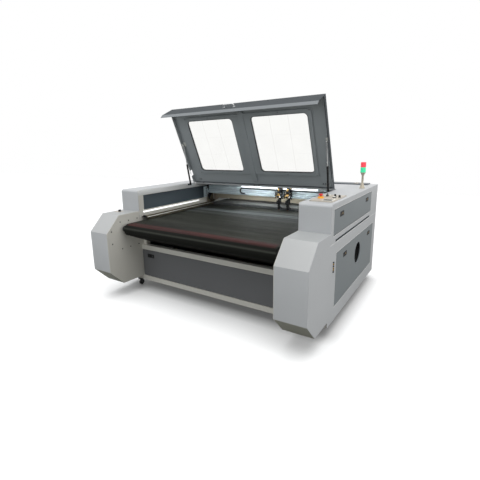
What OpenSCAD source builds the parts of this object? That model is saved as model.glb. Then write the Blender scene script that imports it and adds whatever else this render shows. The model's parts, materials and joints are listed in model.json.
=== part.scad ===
/* [Overall] */
// Overall width across the two side cabinets
machine_w = 2300; // [2200:10:2500]
// Overall depth from the drive housings to the back panel
machine_d = 2000; // [1950:10:2200]
// Height of the side covers above the floor
top_z = 1078; // [1078:1:1110]
// Height of the seam between lower cabinet and side covers
seam_z = 768; // [760:1:775]
// Ground clearance under the base frame
base_z = 100; // [98:1:110]
// Thickness of the folded sheet steel
sheet = 2; // [1.5:0.1:2.5]

/* [Drive housings] */
// Width of each side cabinet and drive housing
side_w = 254; // [245:1:275]
// Reach of the housings in front of the cabinet
ear_reach = 423; // [400:1:440]
// Height of the housings' flat top
ear_top_z = 860; // [840:1:880]
// Height of the housings' flat underside
ear_bottom_z = 148; // [140:1:170]
// Size of the upper front bevel
ear_top_bevel = 160; // [120:1:190]
// Size of the lower front bevel
ear_bottom_bevel = 155; // [120:1:190]
// Thickness of the housings' inner plates
plate_t = 3; // [2:0.5:4]

/* [Frame] */
// Side of the square frame tubes
tube = 50; // [46:1:54]
// Height of the underside of the upper front rail
front_rail_z = 447; // [430:1:455]
// Width of the front corner posts
post_w = 50; // [46:1:56]
// Thickness of the floor pan
pan_t = 3; // [2:0.5:4]

/* [Conveyor] */
// Distance of the belt edges from the housings
belt_margin = 62; // [61:1:75]
// Thickness of the conveyor belt
belt_t = 2; // [1.5:0.1:3]
// Radius of the end rollers
roller_r = 58; // [54:1:60]
// Height of the end rollers' axis
roller_z = 712; // [708:1:714]
// Distance of the front roller's axis from the housing front
front_roller_inset = 220; // [200:1:240]
// Distance of the rear roller's axis from the back panel
rear_roller_inset = 140; // [120:1:160]
// Radius of the tension roller
tension_r = 40; // [34:1:44]
// Distance of the tension roller's axis behind the front roller's
tension_reach = 680; // [660:1:700]
// Distance of the tension roller's axis below the front roller's
tension_drop = 322; // [310:1:340]
// Radius of the roller journals
journal_r = 15; // [12:1:18]

/* [Chamber] */
// Rise of the edge ledges above the belt
ledge_rise = 28; // [24:1:32]
// Distance of the rear chamber wall from the back panel
rear_wall_inset = 240; // [230:1:250]
// Height of the rear feed slot
feed_slot_h = 24; // [20:1:40]
// Depth of the rear tube compartment's cover
tube_cover_d = 138; // [120:1:150]
// Height of the recessed side panels
recess_h = 156; // [140:1:165]
// Distance of the light bars from the rear chamber wall
led_rear = 345; // [315:1:470]

/* [Lid] */
// Angle at which the lid stands open
lid_open = 66; // [60:1:70]
// Length of the lid from its hinge to its front edge
lid_len = 918; // [900:1:940]
// Depth of the lid's front flange
lid_flange = 172; // [150:1:180]
// Length of the bent rim below the front flange
lid_rim = 40; // [30:1:45]
// Depth of the lid's side flanges
lid_side_depth = 44; // [43:1:46]
// Width of each window
window_w = 590; // [540:1:610]
// Height of each window along the lid
window_h = 600; // [560:1:620]
// Corner radius of the windows
window_r = 40; // [20:1:60]

/* [Gas struts] */
// Length of the strut cylinders
strut_cyl_len = 250; // [230:1:260]
// Length of the strut rods
strut_rod_len = 300; // [290:1:305]
// Radius of the strut cylinders
strut_cyl_r = 10; // [8:0.5:11]
// Radius of the strut rods
strut_rod_r = 4; // [3:0.5:5]

/* [Gantry] */
// Depth of the gantry beam
beam_d = 80; // [70:1:90]
// Height of the gantry beam
beam_h = 106; // [100:1:107]
// Rise of the beam's underside above the belt
beam_rise = 153; // [148:1:154]
// Position of the left cutting head along the beam
head_x = 198; // [100:1:300]
// Distance between the two cutting heads
head_pitch = 110; // [90:1:150]
// Radius of the lens tubes
lens_r = 14; // [12:0.5:16]
// Height of the nozzle tips above the belt
nozzle_rise = 18; // [16:1:26]

/* [Doors] */
// Distance of the right upper door from the back panel
upper_door_rear = 290; // [275:1:400]
// Height of the right upper door
upper_door_h = 196; // [180:1:205]
// Distance of the right lower door from the back panel
lower_door_rear = 130; // [120:1:220]
// Height of the right lower door
lower_door_h = 448; // [430:1:460]
// Depth of the doors' folded edges
door_depth = 15; // [14:1:17]
// Radius of the exhaust opening in the lower door
exhaust_r = 100; // [98:1:105]
// Length of a latch paddle
latch_w = 88; // [70:1:100]
// Height of a latch paddle
latch_h = 32; // [28:1:36]

/* [Running gear] */
// Radius of the caster wheels
wheel_r = 31; // [29:1:31]
// Width of the caster wheels
wheel_w = 22; // [18:1:26]
// Radius of the levelling feet
foot_r = 30; // [25:1:40]

/* [Hidden] */
$fn = 48;
cut = 5;
run_gap = 0.05;
gap = 0.3;
slip = 0.1;
half_w = machine_w / 2;
front_y = -machine_d / 2;
rear_y = machine_d / 2;
inner_x = half_w - side_w;
skin_x = half_w - sheet;
wall_x = inner_x - sheet;
body_y = front_y + ear_reach;
rear_in_y = rear_y - sheet;
lining_z = top_z - sheet;

// Frame places
rail_setback = 5;
door_space = 24;
bed_rail_drop = 32;
bar_ys_share = [0.085, 0.45, 0.78];
frame_y0 = body_y + rail_setback;
frame_y1 = frame_y0 + tube;
frame_y2 = rear_in_y - tube;
base_top = base_z + tube;
post_y = frame_y0 + door_space;
tube_x = inner_x - tube;
outer_x = skin_x - tube;
bed_rail_z = roller_z - bed_rail_drop;
bed_rail_z0 = bed_rail_z - tube;

// Conveyor places
front_roller_y = front_y + front_roller_inset;
rear_roller_y = rear_y - rear_roller_inset;
tension_y = front_roller_y + tension_reach;
tension_z = roller_z - tension_drop;
belt_z = roller_z + roller_r + belt_t;
belt_x = inner_x - belt_margin;
arc_steps = 14;
bed_end = 70;
bed_t = 6;
bed_edge = 5;
rib_w = 30;
rib_shares = [-0.72, -0.24, 0.24, 0.72];
bearing_r = 30;
bearing_w = 30;
block_half = 40;
block_w = 8;
plate_hole_extra = 2;
coupling_len = 9;
motor_flange_t = 13;
motor_flange_half = 60;
motor_half = 50;
motor_len = 120;

// Chamber places
ledge_inset = 91;
ledge_t = 3;
ledge_front = 32;
ledge_lip = 4;
ledge_z = belt_z + ledge_rise;
ledge_x = inner_x - ledge_inset;
rail_w = 15;
rail_h = 12;
rail_inset = 51;
rail_end = 20;
rail_x = inner_x - rail_inset;
rear_wall_y = rear_y - rear_wall_inset;
feed_z = belt_z + feed_slot_h + ledge_lip + sheet;
feed_side = 10;
hood_d = 150;
hood_h = 36;
hood_t = 3;
recess_top_drop = 56;
recess_front = 70;
recess_rear = 70;
recess_depth = 20;
recess_rim = 10;
recess_z1 = top_z - recess_top_drop;
recess_z0 = recess_z1 - recess_h;
led_w = 10;
led_h = 14;
led_front = 62;
led_drop = 14;
wall_fold_r = 25;
fold_steps = 6;
vent_h = 10;
vent_front = 125;
vent_rear = 336;
vent_rise = 10;

// Rear compartment
cover_gap = 2;
cover_side = 80;
cover_lip = 24;
cover_pin_r = 3;
cover_pin_len = 6;
cover_ear_t = 4;
cover_ear_d = 14;
panel_drop = 28;
cover_y0 = rear_y - tube_cover_d;
cover_x = half_w - cover_side;
cover_rise = 10;
cover_pin_drop = 8;
cover_pin_y = rear_in_y - cover_pin_drop;
cover_pin_z = lining_z - cover_pin_drop;
laser_r = 40;
laser_len = 1640;
laser_rise = 127;
laser_back = 120;
laser_pitch = 92;
laser_ys = [for (side = [-1, 1]) rear_y - laser_back + side * laser_pitch / 2];
laser_z = feed_z + laser_rise;
clamp_t = 20;
clamp_rim = 12;
clamp_xs_share = [-0.595, 0.595];

// Lid places, in the lid's own closed frame with the hinge at the origin
lid_gap = 20;
lid_front_inset = 20;
hinge_rise = 7;
hinge_back = 14;
lid_back = 12;
lid_back_depth = 20;
rim_bend = 22;
hinge_y = body_y + lid_front_inset + lid_len;
hinge_z = top_z + hinge_rise;
lid_x = inner_x - lid_gap;
window_x0 = 110;
window_s0 = 175;
pane_t = 3;
pane_edge = 15;
liner_t = 12;
liner_edge = 37;
liner_x0 = 30;
rib_depth = 22;
rib_front = 85;
rib_back = 56;
hinge_x_share = 0.89;
knuckle_r = 9;
knuckle_half = 25;
hinge_pin_r = 4;
tab_t = 6;
tab_len = 49;
arm_len = 40;
arm_t = 7;
handle_len = 140;
handle_shift = -39;
handle_reach = 28;
handle_r = 6;
handle_post_r = 5;
handle_n = 112;
handle_foot_r = 11;
handle_foot_t = 3;

// Strut places
stud_s = 500;
stud_n = 30;
stud_r = 4;
stud_base_r = 12;
stud_base_t = 4;
strut_inset = 41;
strut_foot_y = 131;
strut_foot_z = 19;
strut_eye_r = 9;
strut_eye_half = 5;
strut_pin_r = 4;
strut_bore_start = 60;
strut_start = 7;
bracket_gap = 2;
bracket_half_y = 12;
bracket_half_z = 10;
notch_front = 45;
notch_back = 26;
notch_top = 5;
strut_x = inner_x - strut_inset;
foot_y = hinge_y - strut_foot_y;
foot_z = hinge_z - strut_foot_z;
stud_y = hinge_y - stud_s * cos(lid_open) - stud_n * sin(lid_open);
stud_z = hinge_z + stud_s * sin(lid_open) - stud_n * cos(lid_open);
strut_len = norm([stud_y - foot_y, stud_z - foot_z]);
strut_angle = atan2(stud_z - foot_z, foot_y - stud_y);

// Gantry places
park_gap = 96;
beam_end = 46;
end_t = 16;
end_over = 10;
rail_block_half = 20;
rail_block_h = 29;
rail_lift = 3;
x_rail_w = 15;
x_rail_h = 12;
x_rail_end = 30;
x_motor = 56;
x_motor_len = 70;
beam_x = inner_x - beam_end;
beam_z = belt_z + beam_rise;
beam_z1 = beam_z + beam_h;
beam_y1 = rear_wall_y - park_gap;
beam_y0 = beam_y1 - beam_d;
x_rail_y = (beam_y0 + beam_y1) / 2;
groove_h = 18;
groove_d = 6;

// Cable chain along the beam
chain_t = 12;
chain_d = 22;
chain_r = 32;
chain_pitch = 20;
chain_notch = 1.5;
chain_tail_links = 2;
link_shares = [0.1, 0.1, 0.9, 0.9];
chain_left = -370;
chain_right_gap = 12;
chain_drop = 20;

// Cutting heads
head_half = 30;
head_plate_t = 10;
head_stand = 34;
head_axis = 69;
head_block_half = 16;
carriage_rise = 2;
arm_rise = 15;
arm_h = 12;
plate_foot = 88;
plate_waist = 150;
stem_half = 15;
holder_half = 20;
holder_h = 40;
holder_rise = 90;
mirror_half = 24;
mirror_h = 44;
mirror_rise = 164;
mirror_cut = 30;
clamp_screw_r = 5;
clamp_screw_len = 22;
lens_top = 125;
nozzle_len = 36;
nozzle_r = 4;
collar_rise = 14;
collar_h = 10;
collar_extra = 4;
head_y = beam_y0 - head_axis;

// Door places
door_gap = 3;
hinge_drop = 4;
door_pin_in = 8;
door_pin_r = 3;
door_pin_len = 6.5;
door_ear_t = 4;
door_ear_half = 12;
upper_door_front = 64;
upper_door_rise = 66;
lower_door_front = 159;
lower_door_rise = 124;
front_door_side = 7;
front_door_lift = 6;
upper_y0 = body_y + upper_door_front;
upper_z0 = seam_z + upper_door_rise;
upper_door_w = rear_y - upper_door_rear - upper_y0;
lower_y0 = body_y + lower_door_front;
lower_z0 = base_z + lower_door_rise;
lower_door_w = rear_y - lower_door_rear - lower_y0;
front_door_x = inner_x - front_door_side;
front_door_z0 = base_top + front_door_lift;
front_door_z1 = front_rail_z - door_gap;
exhaust_y_share = 0.523;
exhaust_z_share = 0.623;
exhaust_y = lower_y0 + lower_door_w * exhaust_y_share;
exhaust_z = lower_z0 + lower_door_h * exhaust_z_share;
latch_t = 4;
latch_gap = 1.2;
latch_pin_r = 1.5;
latch_pin_drop = 4;
latch_pin_len = 2.4;
latch_cup = 12;
latch_wall = 3;
upper_latch_shares = [0.16, 0.847];
upper_latch_drop = 56;
lower_latch_shares = [0.193, 0.852];
lower_latch_drop = 68;
front_latch_x_share = 0.866;
front_latch_drop = 60;
plate_lap = 15;
plate_cover_t = 3;

// Cabinet contents
duct_r = 95;
duct_wall = 3;
duct_gap = 3;
duct_len = 42;
duct_bore = 50;
blower_d = 90;
blower_half = 150;
blower_leg = 60;
supply_w = 180;
supply_len = 500;
supply_h = 300;
supply_y_share = 0.3;

// Controls and lamps on the right-hand cover
panel_x0 = 36;
panel_w = 184;
panel_len = 395;
panel_front = 105;
panel_t = 6;
panel_r = 10;
stop_x = 41;
stop_y = 154;
stop_collar_r = 20;
stop_collar_h = 14;
stop_r = 18;
stop_h = 14;
stop_stem_r = 8;
stop_stem_in = 4;
stop_lift = 8;
stop_bore_depth = 12;
key_x = 60;
key_y = 259;
key_r = 11;
key_h = 12;
key_stem_r = 6;
key_stem = 5;
key_grip_w = 4;
key_grip_h = 14;
knob_x = 80;
knob_y = 110;
knob_r = 14;
knob_h = 20;
knob_base_r = 17;
knob_base_h = 3;
lamp_x = 61;
lamp_back = 450;
lamp_r = 25;
lamp_h = 50;
lamp_seam = 2;
cup_h = 25;
pole_r = 10;
pole_neck_r = 13;
pole_h = 83;
lamp_foot_r = 26;
lamp_foot_h = 48;

// Running gear places
foot_h = 14;
foot_stud_r = 8;
foot_front = 247;
foot_rear = 150;
wheel_clear = 2;
caster_x = 150;
caster_trail = 22;
caster_disc_r = 22;
caster_disc_h = 12;
caster_stem_r = 6;
caster_stem = 16;
cheek_t = 3;
cheek_w = 24;
axle_r = 4;
fork_gap = 2;
wheel_z = wheel_r + wheel_clear;
caster_y = frame_y0 + tube / 2;
rear_caster_y = rear_in_y - tube / 2;

// Shared shapes
module box(x0, x1, y0, y1, z0, z1) {
    translate([x0, y0, z0]) cube([x1 - x0, y1 - y0, z1 - z0]);
}

module both_sides() {
    children();
    mirror([1, 0, 0]) children();
}

module on_side(side) {
    mirror([side < 0 ? 1 : 0, 0, 0]) children();
}

module along_x(x0, x1) {
    translate([x0, 0, 0]) rotate([90, 0, 90]) linear_extrude(x1 - x0) children();
}

module along_y(y0, y1) {
    translate([0, y1, 0]) rotate([90, 0, 0]) linear_extrude(y1 - y0) children();
}

module rod_x(x0, x1, y, z, r) {
    translate([x0, y, z]) rotate([0, 90, 0]) cylinder(r = r, h = x1 - x0);
}

module rod_y(y0, y1, x, z, r) {
    translate([x, y1, z]) rotate([90, 0, 0]) cylinder(r = r, h = y1 - y0);
}

function arc(c, r, a0, a1, n) = [for (i = [0:n]) let (a = a0 + (a1 - a0) * i / n) c + r * [cos(a), sin(a)]];

function rounded(x0, x1, y0, y1, r) = concat(
    arc([x1 - r, y1 - r], r, 0, 90, fold_steps),
    arc([x0 + r, y1 - r], r, 90, 180, fold_steps),
    arc([x0 + r, y0 + r], r, 180, 270, fold_steps),
    arc([x1 - r, y0 + r], r, 270, 360, fold_steps));

// Outline of a drive housing seen from the side, drawn in by t
function ear_outline(t, back) = let (k = t * tan(22.5)) [
    [back, ear_top_z - t],
    [front_y + ear_top_bevel + k, ear_top_z - t],
    [front_y + t, ear_top_z - ear_top_bevel - k],
    [front_y + t, ear_bottom_z + ear_bottom_bevel + k],
    [front_y + ear_bottom_bevel + k, ear_bottom_z + t],
    [back, ear_bottom_z + t]];

// Base frame
module base_frame() {
    color("#96968e") difference() {
        union() {
            box(-skin_x, skin_x, frame_y0, frame_y1, base_z, base_top);
            box(-skin_x, skin_x, frame_y2, rear_in_y, base_z, base_top);
            box(-outer_x, outer_x, frame_y1, frame_y2, base_z, base_z + pan_t);
            box(-inner_x, inner_x, frame_y0, frame_y1, front_rail_z, front_rail_z + tube);
            for (share = bar_ys_share) bed_bar(body_y + (rear_y - body_y) * share);
            both_sides() frame_side();
            both_sides() caster_fork(rear_caster_y, -caster_trail, 0);
        }
        both_sides() {
            translate([half_w - caster_x, caster_y, base_z - cut])
                cylinder(r = caster_stem_r + run_gap, h = caster_stem + cut + gap);
            rod_x(front_door_x, inner_x + cut, frame_y0 + door_pin_in, front_door_z0 + door_pin_in,
                door_pin_r + run_gap);
        }
    }
}

module frame_side() {
    box(outer_x, skin_x, frame_y1, frame_y2, base_z, base_top);
    box(tube_x, inner_x, frame_y1, frame_y2, base_z, base_top);
    box(inner_x - post_w, inner_x, post_y, post_y + tube, base_top, bed_rail_z);
    box(tube_x, inner_x, tension_y - tube / 2, tension_y + tube / 2, base_top, bed_rail_z0);
    box(tube_x, inner_x, frame_y2, rear_in_y, base_top, bed_rail_z0);
    box(tube_x, inner_x, post_y, rear_in_y, bed_rail_z0, bed_rail_z);
    box(outer_x, skin_x, frame_y0, frame_y1, base_top, seam_z);
    box(outer_x, skin_x, frame_y2, rear_in_y, base_top, seam_z);
    box(outer_x, skin_x, frame_y0, rear_in_y, seam_z - tube, seam_z);
    box(inner_x, outer_x, post_y, post_y + tube, bed_rail_z0, bed_rail_z);
    box(inner_x, outer_x, frame_y2, rear_in_y, bed_rail_z0, bed_rail_z);
    box(front_door_x + door_gap, inner_x, frame_y0, frame_y0 + 2 * door_pin_in, base_z,
        front_door_z0 + 2 * door_pin_in - door_pin_r);
}

module bed_bar(y) {
    box(-tube_x, tube_x, y, y + tube, bed_rail_z0, bed_rail_z);
}

module levelling_feet() {
    color("#2a2b2c") both_sides() for (y = [frame_y0 + foot_front, rear_in_y - foot_rear])
        translate([tube_x + tube / 2, y, 0]) {
            cylinder(r = foot_r, h = foot_h);
            cylinder(r = foot_stud_r, h = base_z);
        }
}

// Lower side panels with the housing outline at the front
module side_panel_outline() {
    polygon(concat(
        [[rear_y, base_z], [rear_y, seam_z], [body_y, seam_z]],
        ear_outline(0, body_y),
        [[body_y, base_z]]));
}

module side_panel() {
    along_x(skin_x, half_w) difference() {
        side_panel_outline();
        door_opening(lower_y0, lower_z0, lower_door_w, lower_door_h);
    }
}

module door_opening(y0, z0, w, h) {
    translate([y0 - door_gap, z0 - hinge_drop])
        square([w + 2 * door_gap, h + hinge_drop + door_gap]);
}

// Two ears inside a panel that carry a door's hinge pins
module door_ears(y0, z0, w) {
    for (y = [y0 - door_gap - door_ear_t, y0 + w + door_gap]) difference() {
        box(half_w - 2 * door_pin_in, skin_x, y, y + door_ear_t,
            z0 + door_pin_in - door_ear_half, z0 + door_pin_in + door_ear_half);
        rod_y(y - cut, y + door_ear_t + cut, half_w - door_pin_in, z0 + door_pin_in, door_pin_r + run_gap);
    }
}

module left_side_panel() {
    color("#a6aaac") mirror([1, 0, 0]) side_panel();
}

module right_side_panel() {
    color("#a6aaac") {
        side_panel();
        door_ears(lower_y0, lower_z0, lower_door_w);
    }
}

module ear_wraps() {
    color("#b4b8ba") both_sides() along_x(inner_x + plate_t, skin_x) difference() {
        polygon(ear_outline(0, body_y));
        polygon(ear_outline(sheet, body_y + cut));
    }
}

module ear_plates() {
    color("#9a9c98") both_sides() difference() {
        union() {
            along_x(inner_x, inner_x + plate_t) polygon(ear_outline(0, body_y));
            box(inner_x, inner_x + plate_t, body_y - sheet, post_y, base_top, seam_z);
        }
        rod_x(inner_x - cut, inner_x + plate_t + cut, front_roller_y, roller_z, journal_r + plate_hole_extra);
    }
}

// Upper side covers: front, folded edge and top in one strip, with the outer side
function cover_outline(t) = concat(
    [[rear_y - sheet + t, seam_z], [rear_y - sheet + t, top_z - t]],
    arc([body_y + wall_fold_r, top_z - wall_fold_r], wall_fold_r - t, 90, 180, fold_steps),
    [[body_y + t, seam_z]]);

module upper_cover_strip() {
    difference() {
        along_x(wall_x, skin_x) difference() {
            polygon(cover_outline(0));
            translate([0, -sheet]) polygon(cover_outline(sheet));
            polygon(cover_outline(sheet));
        }
        box(wall_x - cut, cover_x + cover_gap, cover_y0 - cover_gap, rear_y + cut, seam_z, top_z + cut);
        box(wall_x - cut, inner_x, body_y - cut, rear_y, seam_z - cut, lining_z);
    }
}

module upper_cover_side() {
    along_x(skin_x, half_w) difference() {
        polygon(concat([[rear_y, seam_z], [rear_y, top_z]],
            arc([body_y + wall_fold_r, top_z - wall_fold_r], wall_fold_r, 90, 180, fold_steps),
            [[body_y, seam_z]]));
        door_opening(upper_y0, upper_z0, upper_door_w, upper_door_h);
        translate([body_y + vent_front, seam_z + vent_rise]) square([rear_y - vent_rear - body_y - vent_front, vent_h]);
    }
}

module upper_cover() {
    ear_x = cover_x + cover_gap;
    upper_cover_side();
    difference() {
        union() {
            upper_cover_strip();
            box(ear_x, ear_x + cover_ear_t, rear_in_y - cover_ear_d, rear_in_y, top_z - cover_lip, lining_z);
        }
        rod_x(ear_x - cut, ear_x + cover_ear_t + cut, cover_pin_y, cover_pin_z, cover_pin_r + run_gap);
    }
}

module left_upper_cover() {
    color("#b4b8ba") mirror([1, 0, 0]) upper_cover();
}

module right_upper_cover() {
    color("#b4b8ba") {
        upper_cover();
        door_ears(upper_y0, upper_z0, upper_door_w);
    }
}

// Chamber
module inner_walls() {
    color("#8f9490") both_sides() along_x(wall_x, inner_x) difference() {
        union() {
            translate([body_y + sheet, bed_rail_z]) square([rear_wall_y - body_y, lining_z - bed_rail_z]);
            translate([rear_wall_y, bed_rail_z]) square([rear_in_y - rear_wall_y, feed_z - bed_rail_z]);
        }
        translate([body_y + recess_front, recess_z0])
            square([rear_wall_y - recess_rear - body_y - recess_front, recess_h]);
    }
}

module recess_panels() {
    color("#343c42") both_sides() difference() {
        box(inner_x, inner_x + recess_depth, body_y + recess_front - recess_rim,
            rear_wall_y - recess_rear + recess_rim, recess_z0 - recess_rim, recess_z1 + recess_rim);
        box(inner_x - cut, inner_x + recess_depth - sheet, body_y + recess_front,
            rear_wall_y - recess_rear, recess_z0, recess_z1);
    }
}

module led_bars() {
    color("#ffffff") both_sides() box(wall_x - led_w, wall_x, body_y + led_front,
        rear_wall_y - led_rear, recess_z0 - led_drop - led_h, recess_z0 - led_drop);
}

module edge_ledges() {
    color("#8a8f86") both_sides() {
        box(ledge_x, wall_x, body_y + ledge_front, rear_wall_y, ledge_z - ledge_t, ledge_z);
        box(ledge_x, ledge_x + ledge_t, body_y + ledge_front, rear_wall_y, belt_z + ledge_lip, ledge_z);
        box(rail_x - rail_w / 2, rail_x + rail_w / 2, body_y + ledge_front + ledge_lip,
            rear_wall_y - rail_end, ledge_z - ledge_t, ledge_z + rail_h);
    }
}

// Rear wall with the feed hood, the tube shelf and its clamps
module rear_wall() {
    color("#b0aa9a") difference() {
        union() {
            box(-wall_x, wall_x, rear_wall_y, rear_wall_y + sheet, feed_z, lining_z);
            box(-wall_x, wall_x, rear_wall_y, rear_in_y, feed_z, feed_z + sheet);
            along_x(-ledge_x + gap, ledge_x - gap) polygon([[rear_wall_y - hood_d, feed_z],
                [rear_wall_y, feed_z + hood_h], [rear_wall_y, feed_z + hood_h + hood_t],
                [rear_wall_y - hood_d, feed_z + hood_t]]);
            for (share = clamp_xs_share) {
                x = belt_x * share;
                box(x - clamp_t / 2, x + clamp_t / 2, laser_ys[0] - laser_r - clamp_rim,
                    laser_ys[1] + laser_r + clamp_rim, feed_z, laser_z + laser_r / 2);
            }
        }
        for (y = laser_ys) rod_x(-laser_len / 2 - cut, laser_len / 2 + cut, y, laser_z, laser_r + gap);
    }
}

module laser_tubes() {
    color("#cfe4ea") for (y = laser_ys) rod_x(-laser_len / 2, laser_len / 2, y, laser_z, laser_r);
}

module top_cover() {
    color("#c8c8ca") {
        box(-wall_x + gap, wall_x - gap, hinge_y + hinge_back, cover_y0 - cover_gap, lining_z, top_z);
        box(-wall_x + gap, wall_x - gap, hinge_y + hinge_back, hinge_y + hinge_back + sheet,
            lining_z - lid_back, lining_z);
    }
}

module rear_panel() {
    shoulder_x = cover_x + cover_gap + cover_ear_t;
    color("#a6aaac") along_y(rear_in_y, rear_y) difference() {
        union() {
            translate([-skin_x, base_z]) square([2 * skin_x, top_z - panel_drop - base_z]);
            for (x = [-skin_x, shoulder_x])
                translate([x, base_z]) square([skin_x - shoulder_x, lining_z - base_z]);
        }
        translate([-belt_x - feed_side, belt_z + ledge_lip]) square([2 * (belt_x + feed_side), feed_slot_h]);
    }
}

module left_cover_plates() {
    color("#787f81") mirror([1, 0, 0]) {
        box(skin_x - plate_cover_t, skin_x, upper_y0 - plate_lap, upper_y0 + upper_door_w + plate_lap,
            upper_z0 - plate_lap, upper_z0 + upper_door_h + plate_lap);
        box(skin_x - plate_cover_t, skin_x, lower_y0 - plate_lap, lower_y0 + lower_door_w + plate_lap,
            lower_z0 - plate_lap, lower_z0 + lower_door_h + plate_lap);
    }
}

// Conveyor: the belt runs round the front, tension and rear rollers
belt_centres = [[front_roller_y, roller_z], [tension_y, tension_z], [rear_roller_y, roller_z]];
belt_radii = [roller_r, tension_r, roller_r];

function tangent_angle(i) = let (a = belt_centres[i], b = belt_centres[(i + 1) % 3], d = b - a)
    atan2(d[1], d[0]) - acos((belt_radii[i] - belt_radii[(i + 1) % 3]) / norm(d));

function belt_arc(i, t) = let (a0 = tangent_angle((i + 2) % 3), a1 = tangent_angle(i))
    arc(belt_centres[i], belt_radii[i] + t, a0, a1 < a0 ? a1 + 360 : a1, arc_steps);

function belt_outline(t) = concat(belt_arc(0, t), belt_arc(1, t), belt_arc(2, t));

module belt() {
    color("#32322c") along_x(-belt_x, belt_x) difference() {
        polygon(belt_outline(belt_t));
        polygon(belt_outline(0));
    }
}

module belt_bed() {
    bed_y0 = front_roller_y + bed_end;
    bed_y1 = rear_roller_y - bed_end;
    bed_z = belt_z - belt_t - gap;
    color("#6c7070") {
        box(-belt_x + bed_edge, belt_x - bed_edge, bed_y0, bed_y1, bed_z - bed_t, bed_z);
        for (share = rib_shares) box(belt_x * share - rib_w / 2, belt_x * share + rib_w / 2,
            bed_y0, bed_y1, bed_rail_z, bed_z);
    }
}

module roller(y, z, r, end_x) {
    rod_x(-belt_x + gap, belt_x - gap, y, z, r - gap);
    rod_x(-end_x, end_x, y, z, journal_r);
}

module front_roller() {
    color("#3a3c3c") roller(front_roller_y, roller_z, roller_r, inner_x + coupling_len);
}

module rear_roller() {
    color("#3a3c3c") roller(rear_roller_y, roller_z, roller_r, wall_x - gap);
}

module tension_roller() {
    color("#3a3c3c") roller(tension_y, tension_z, tension_r, tube_x - gap);
}

module roller_bearings() {
    color("#202224") both_sides() difference() {
        union() {
            rod_x(inner_x - bearing_w, inner_x, front_roller_y, roller_z, bearing_r);
            box(tube_x, wall_x, rear_roller_y - block_half, rear_roller_y + block_half,
                bed_rail_z, roller_z + bearing_r);
            box(tube_x - block_w, tube_x, tension_y - block_half, tension_y + block_half,
                tension_z - block_half, tension_z + block_half);
        }
        rod_x(inner_x - bearing_w - cut, inner_x + cut, front_roller_y, roller_z, journal_r + run_gap);
        rod_x(tube_x - cut, wall_x + cut, rear_roller_y, roller_z, journal_r + run_gap);
        rod_x(tube_x - block_w - cut, tube_x + cut, tension_y, tension_z, journal_r + run_gap);
    }
}

module motor_block(x, len_x, half) {
    box(x, x + len_x, front_roller_y - half, front_roller_y + half, roller_z - half, roller_z + half);
}

module feed_motor() {
    flange_x = inner_x + plate_t;
    color("#2c2e30") difference() {
        union() {
            motor_block(flange_x, motor_flange_t, motor_flange_half);
            motor_block(flange_x, motor_len, motor_half);
        }
        rod_x(flange_x - cut, flange_x + coupling_len, front_roller_y, roller_z,
            journal_r + plate_hole_extra);
    }
}

// Doors: a folded tray with hinge pins low down and cups for the latches
module door_tray(x0, y0, z0, w, h) {
    difference() {
        box(x0 - door_depth, x0, y0, y0 + w, z0, z0 + h);
        box(x0 - door_depth - cut, x0 - sheet, y0 + sheet, y0 + w - sheet, z0 + sheet, z0 + h - sheet);
    }
    for (y = [y0 - door_pin_len, y0 + w - sheet])
        rod_y(y, y + door_pin_len + sheet, x0 - door_pin_in, z0 + door_pin_in, door_pin_r);
}

module latch_cup(x0, y, z) {
    box(x0 - latch_cup - sheet, x0 - sheet / 2, y - latch_w / 2 - latch_wall, y + latch_w / 2 + latch_wall,
        z - latch_h / 2 - latch_wall, z + latch_h / 2 + latch_wall);
}

module latch_pocket(x0, y, z) {
    box(x0 - latch_cup, x0 + cut, y - latch_w / 2 - latch_gap, y + latch_w / 2 + latch_gap,
        z - latch_h / 2 - latch_gap, z + latch_h / 2 + latch_gap);
    rod_y(y - latch_w / 2 - latch_wall + gap, y + latch_w / 2 + latch_wall - gap, x0 - latch_wall,
        z + latch_h / 2 - latch_pin_drop, latch_pin_r + run_gap);
}

module latch_paddle(x0, y, z) {
    box(x0 - latch_t, x0, y - latch_w / 2, y + latch_w / 2, z - latch_h / 2, z + latch_h / 2);
    rod_y(y - latch_w / 2 - latch_pin_len, y + latch_w / 2 + latch_pin_len, x0 - latch_wall,
        z + latch_h / 2 - latch_pin_drop, latch_pin_r);
}

module latched_door(x0, y0, z0, w, h, latch_ys, latch_z) {
    difference() {
        union() {
            door_tray(x0, y0, z0, w, h);
            for (y = latch_ys) latch_cup(x0, y, latch_z);
        }
        for (y = latch_ys) latch_pocket(x0, y, latch_z);
    }
}

upper_latch_ys = [for (share = upper_latch_shares) upper_y0 + upper_door_w * share];
upper_latch_z = upper_z0 + upper_door_h - upper_latch_drop;
lower_latch_ys = [for (share = lower_latch_shares) lower_y0 + lower_door_w * share];
lower_latch_z = lower_z0 + lower_door_h - lower_latch_drop;
front_latch_ys = [for (side = [-1, 1]) side * front_door_x * front_latch_x_share];
front_latch_z = front_door_z1 - front_latch_drop;

module right_upper_door() {
    color("#787f81")
        latched_door(half_w, upper_y0, upper_z0, upper_door_w, upper_door_h, upper_latch_ys, upper_latch_z);
}

module right_lower_door() {
    color("#787f81") difference() {
        latched_door(half_w, lower_y0, lower_z0, lower_door_w, lower_door_h, lower_latch_ys, lower_latch_z);
        rod_x(skin_x - cut, half_w + cut, exhaust_y, exhaust_z, exhaust_r);
    }
}

// The front door is a side door turned to face forwards
module facing_front() {
    rotate([0, 0, -90]) children();
}

module front_door() {
    color("#484a4c") facing_front() latched_door(-frame_y0, -front_door_x, front_door_z0, 2 * front_door_x,
        front_door_z1 - front_door_z0, front_latch_ys, front_latch_z);
}

module upper_latches() {
    color("#1c1c1c") for (y = upper_latch_ys) latch_paddle(half_w, y, upper_latch_z);
}

module lower_latches() {
    color("#1c1c1c") for (y = lower_latch_ys) latch_paddle(half_w, y, lower_latch_z);
}

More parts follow.
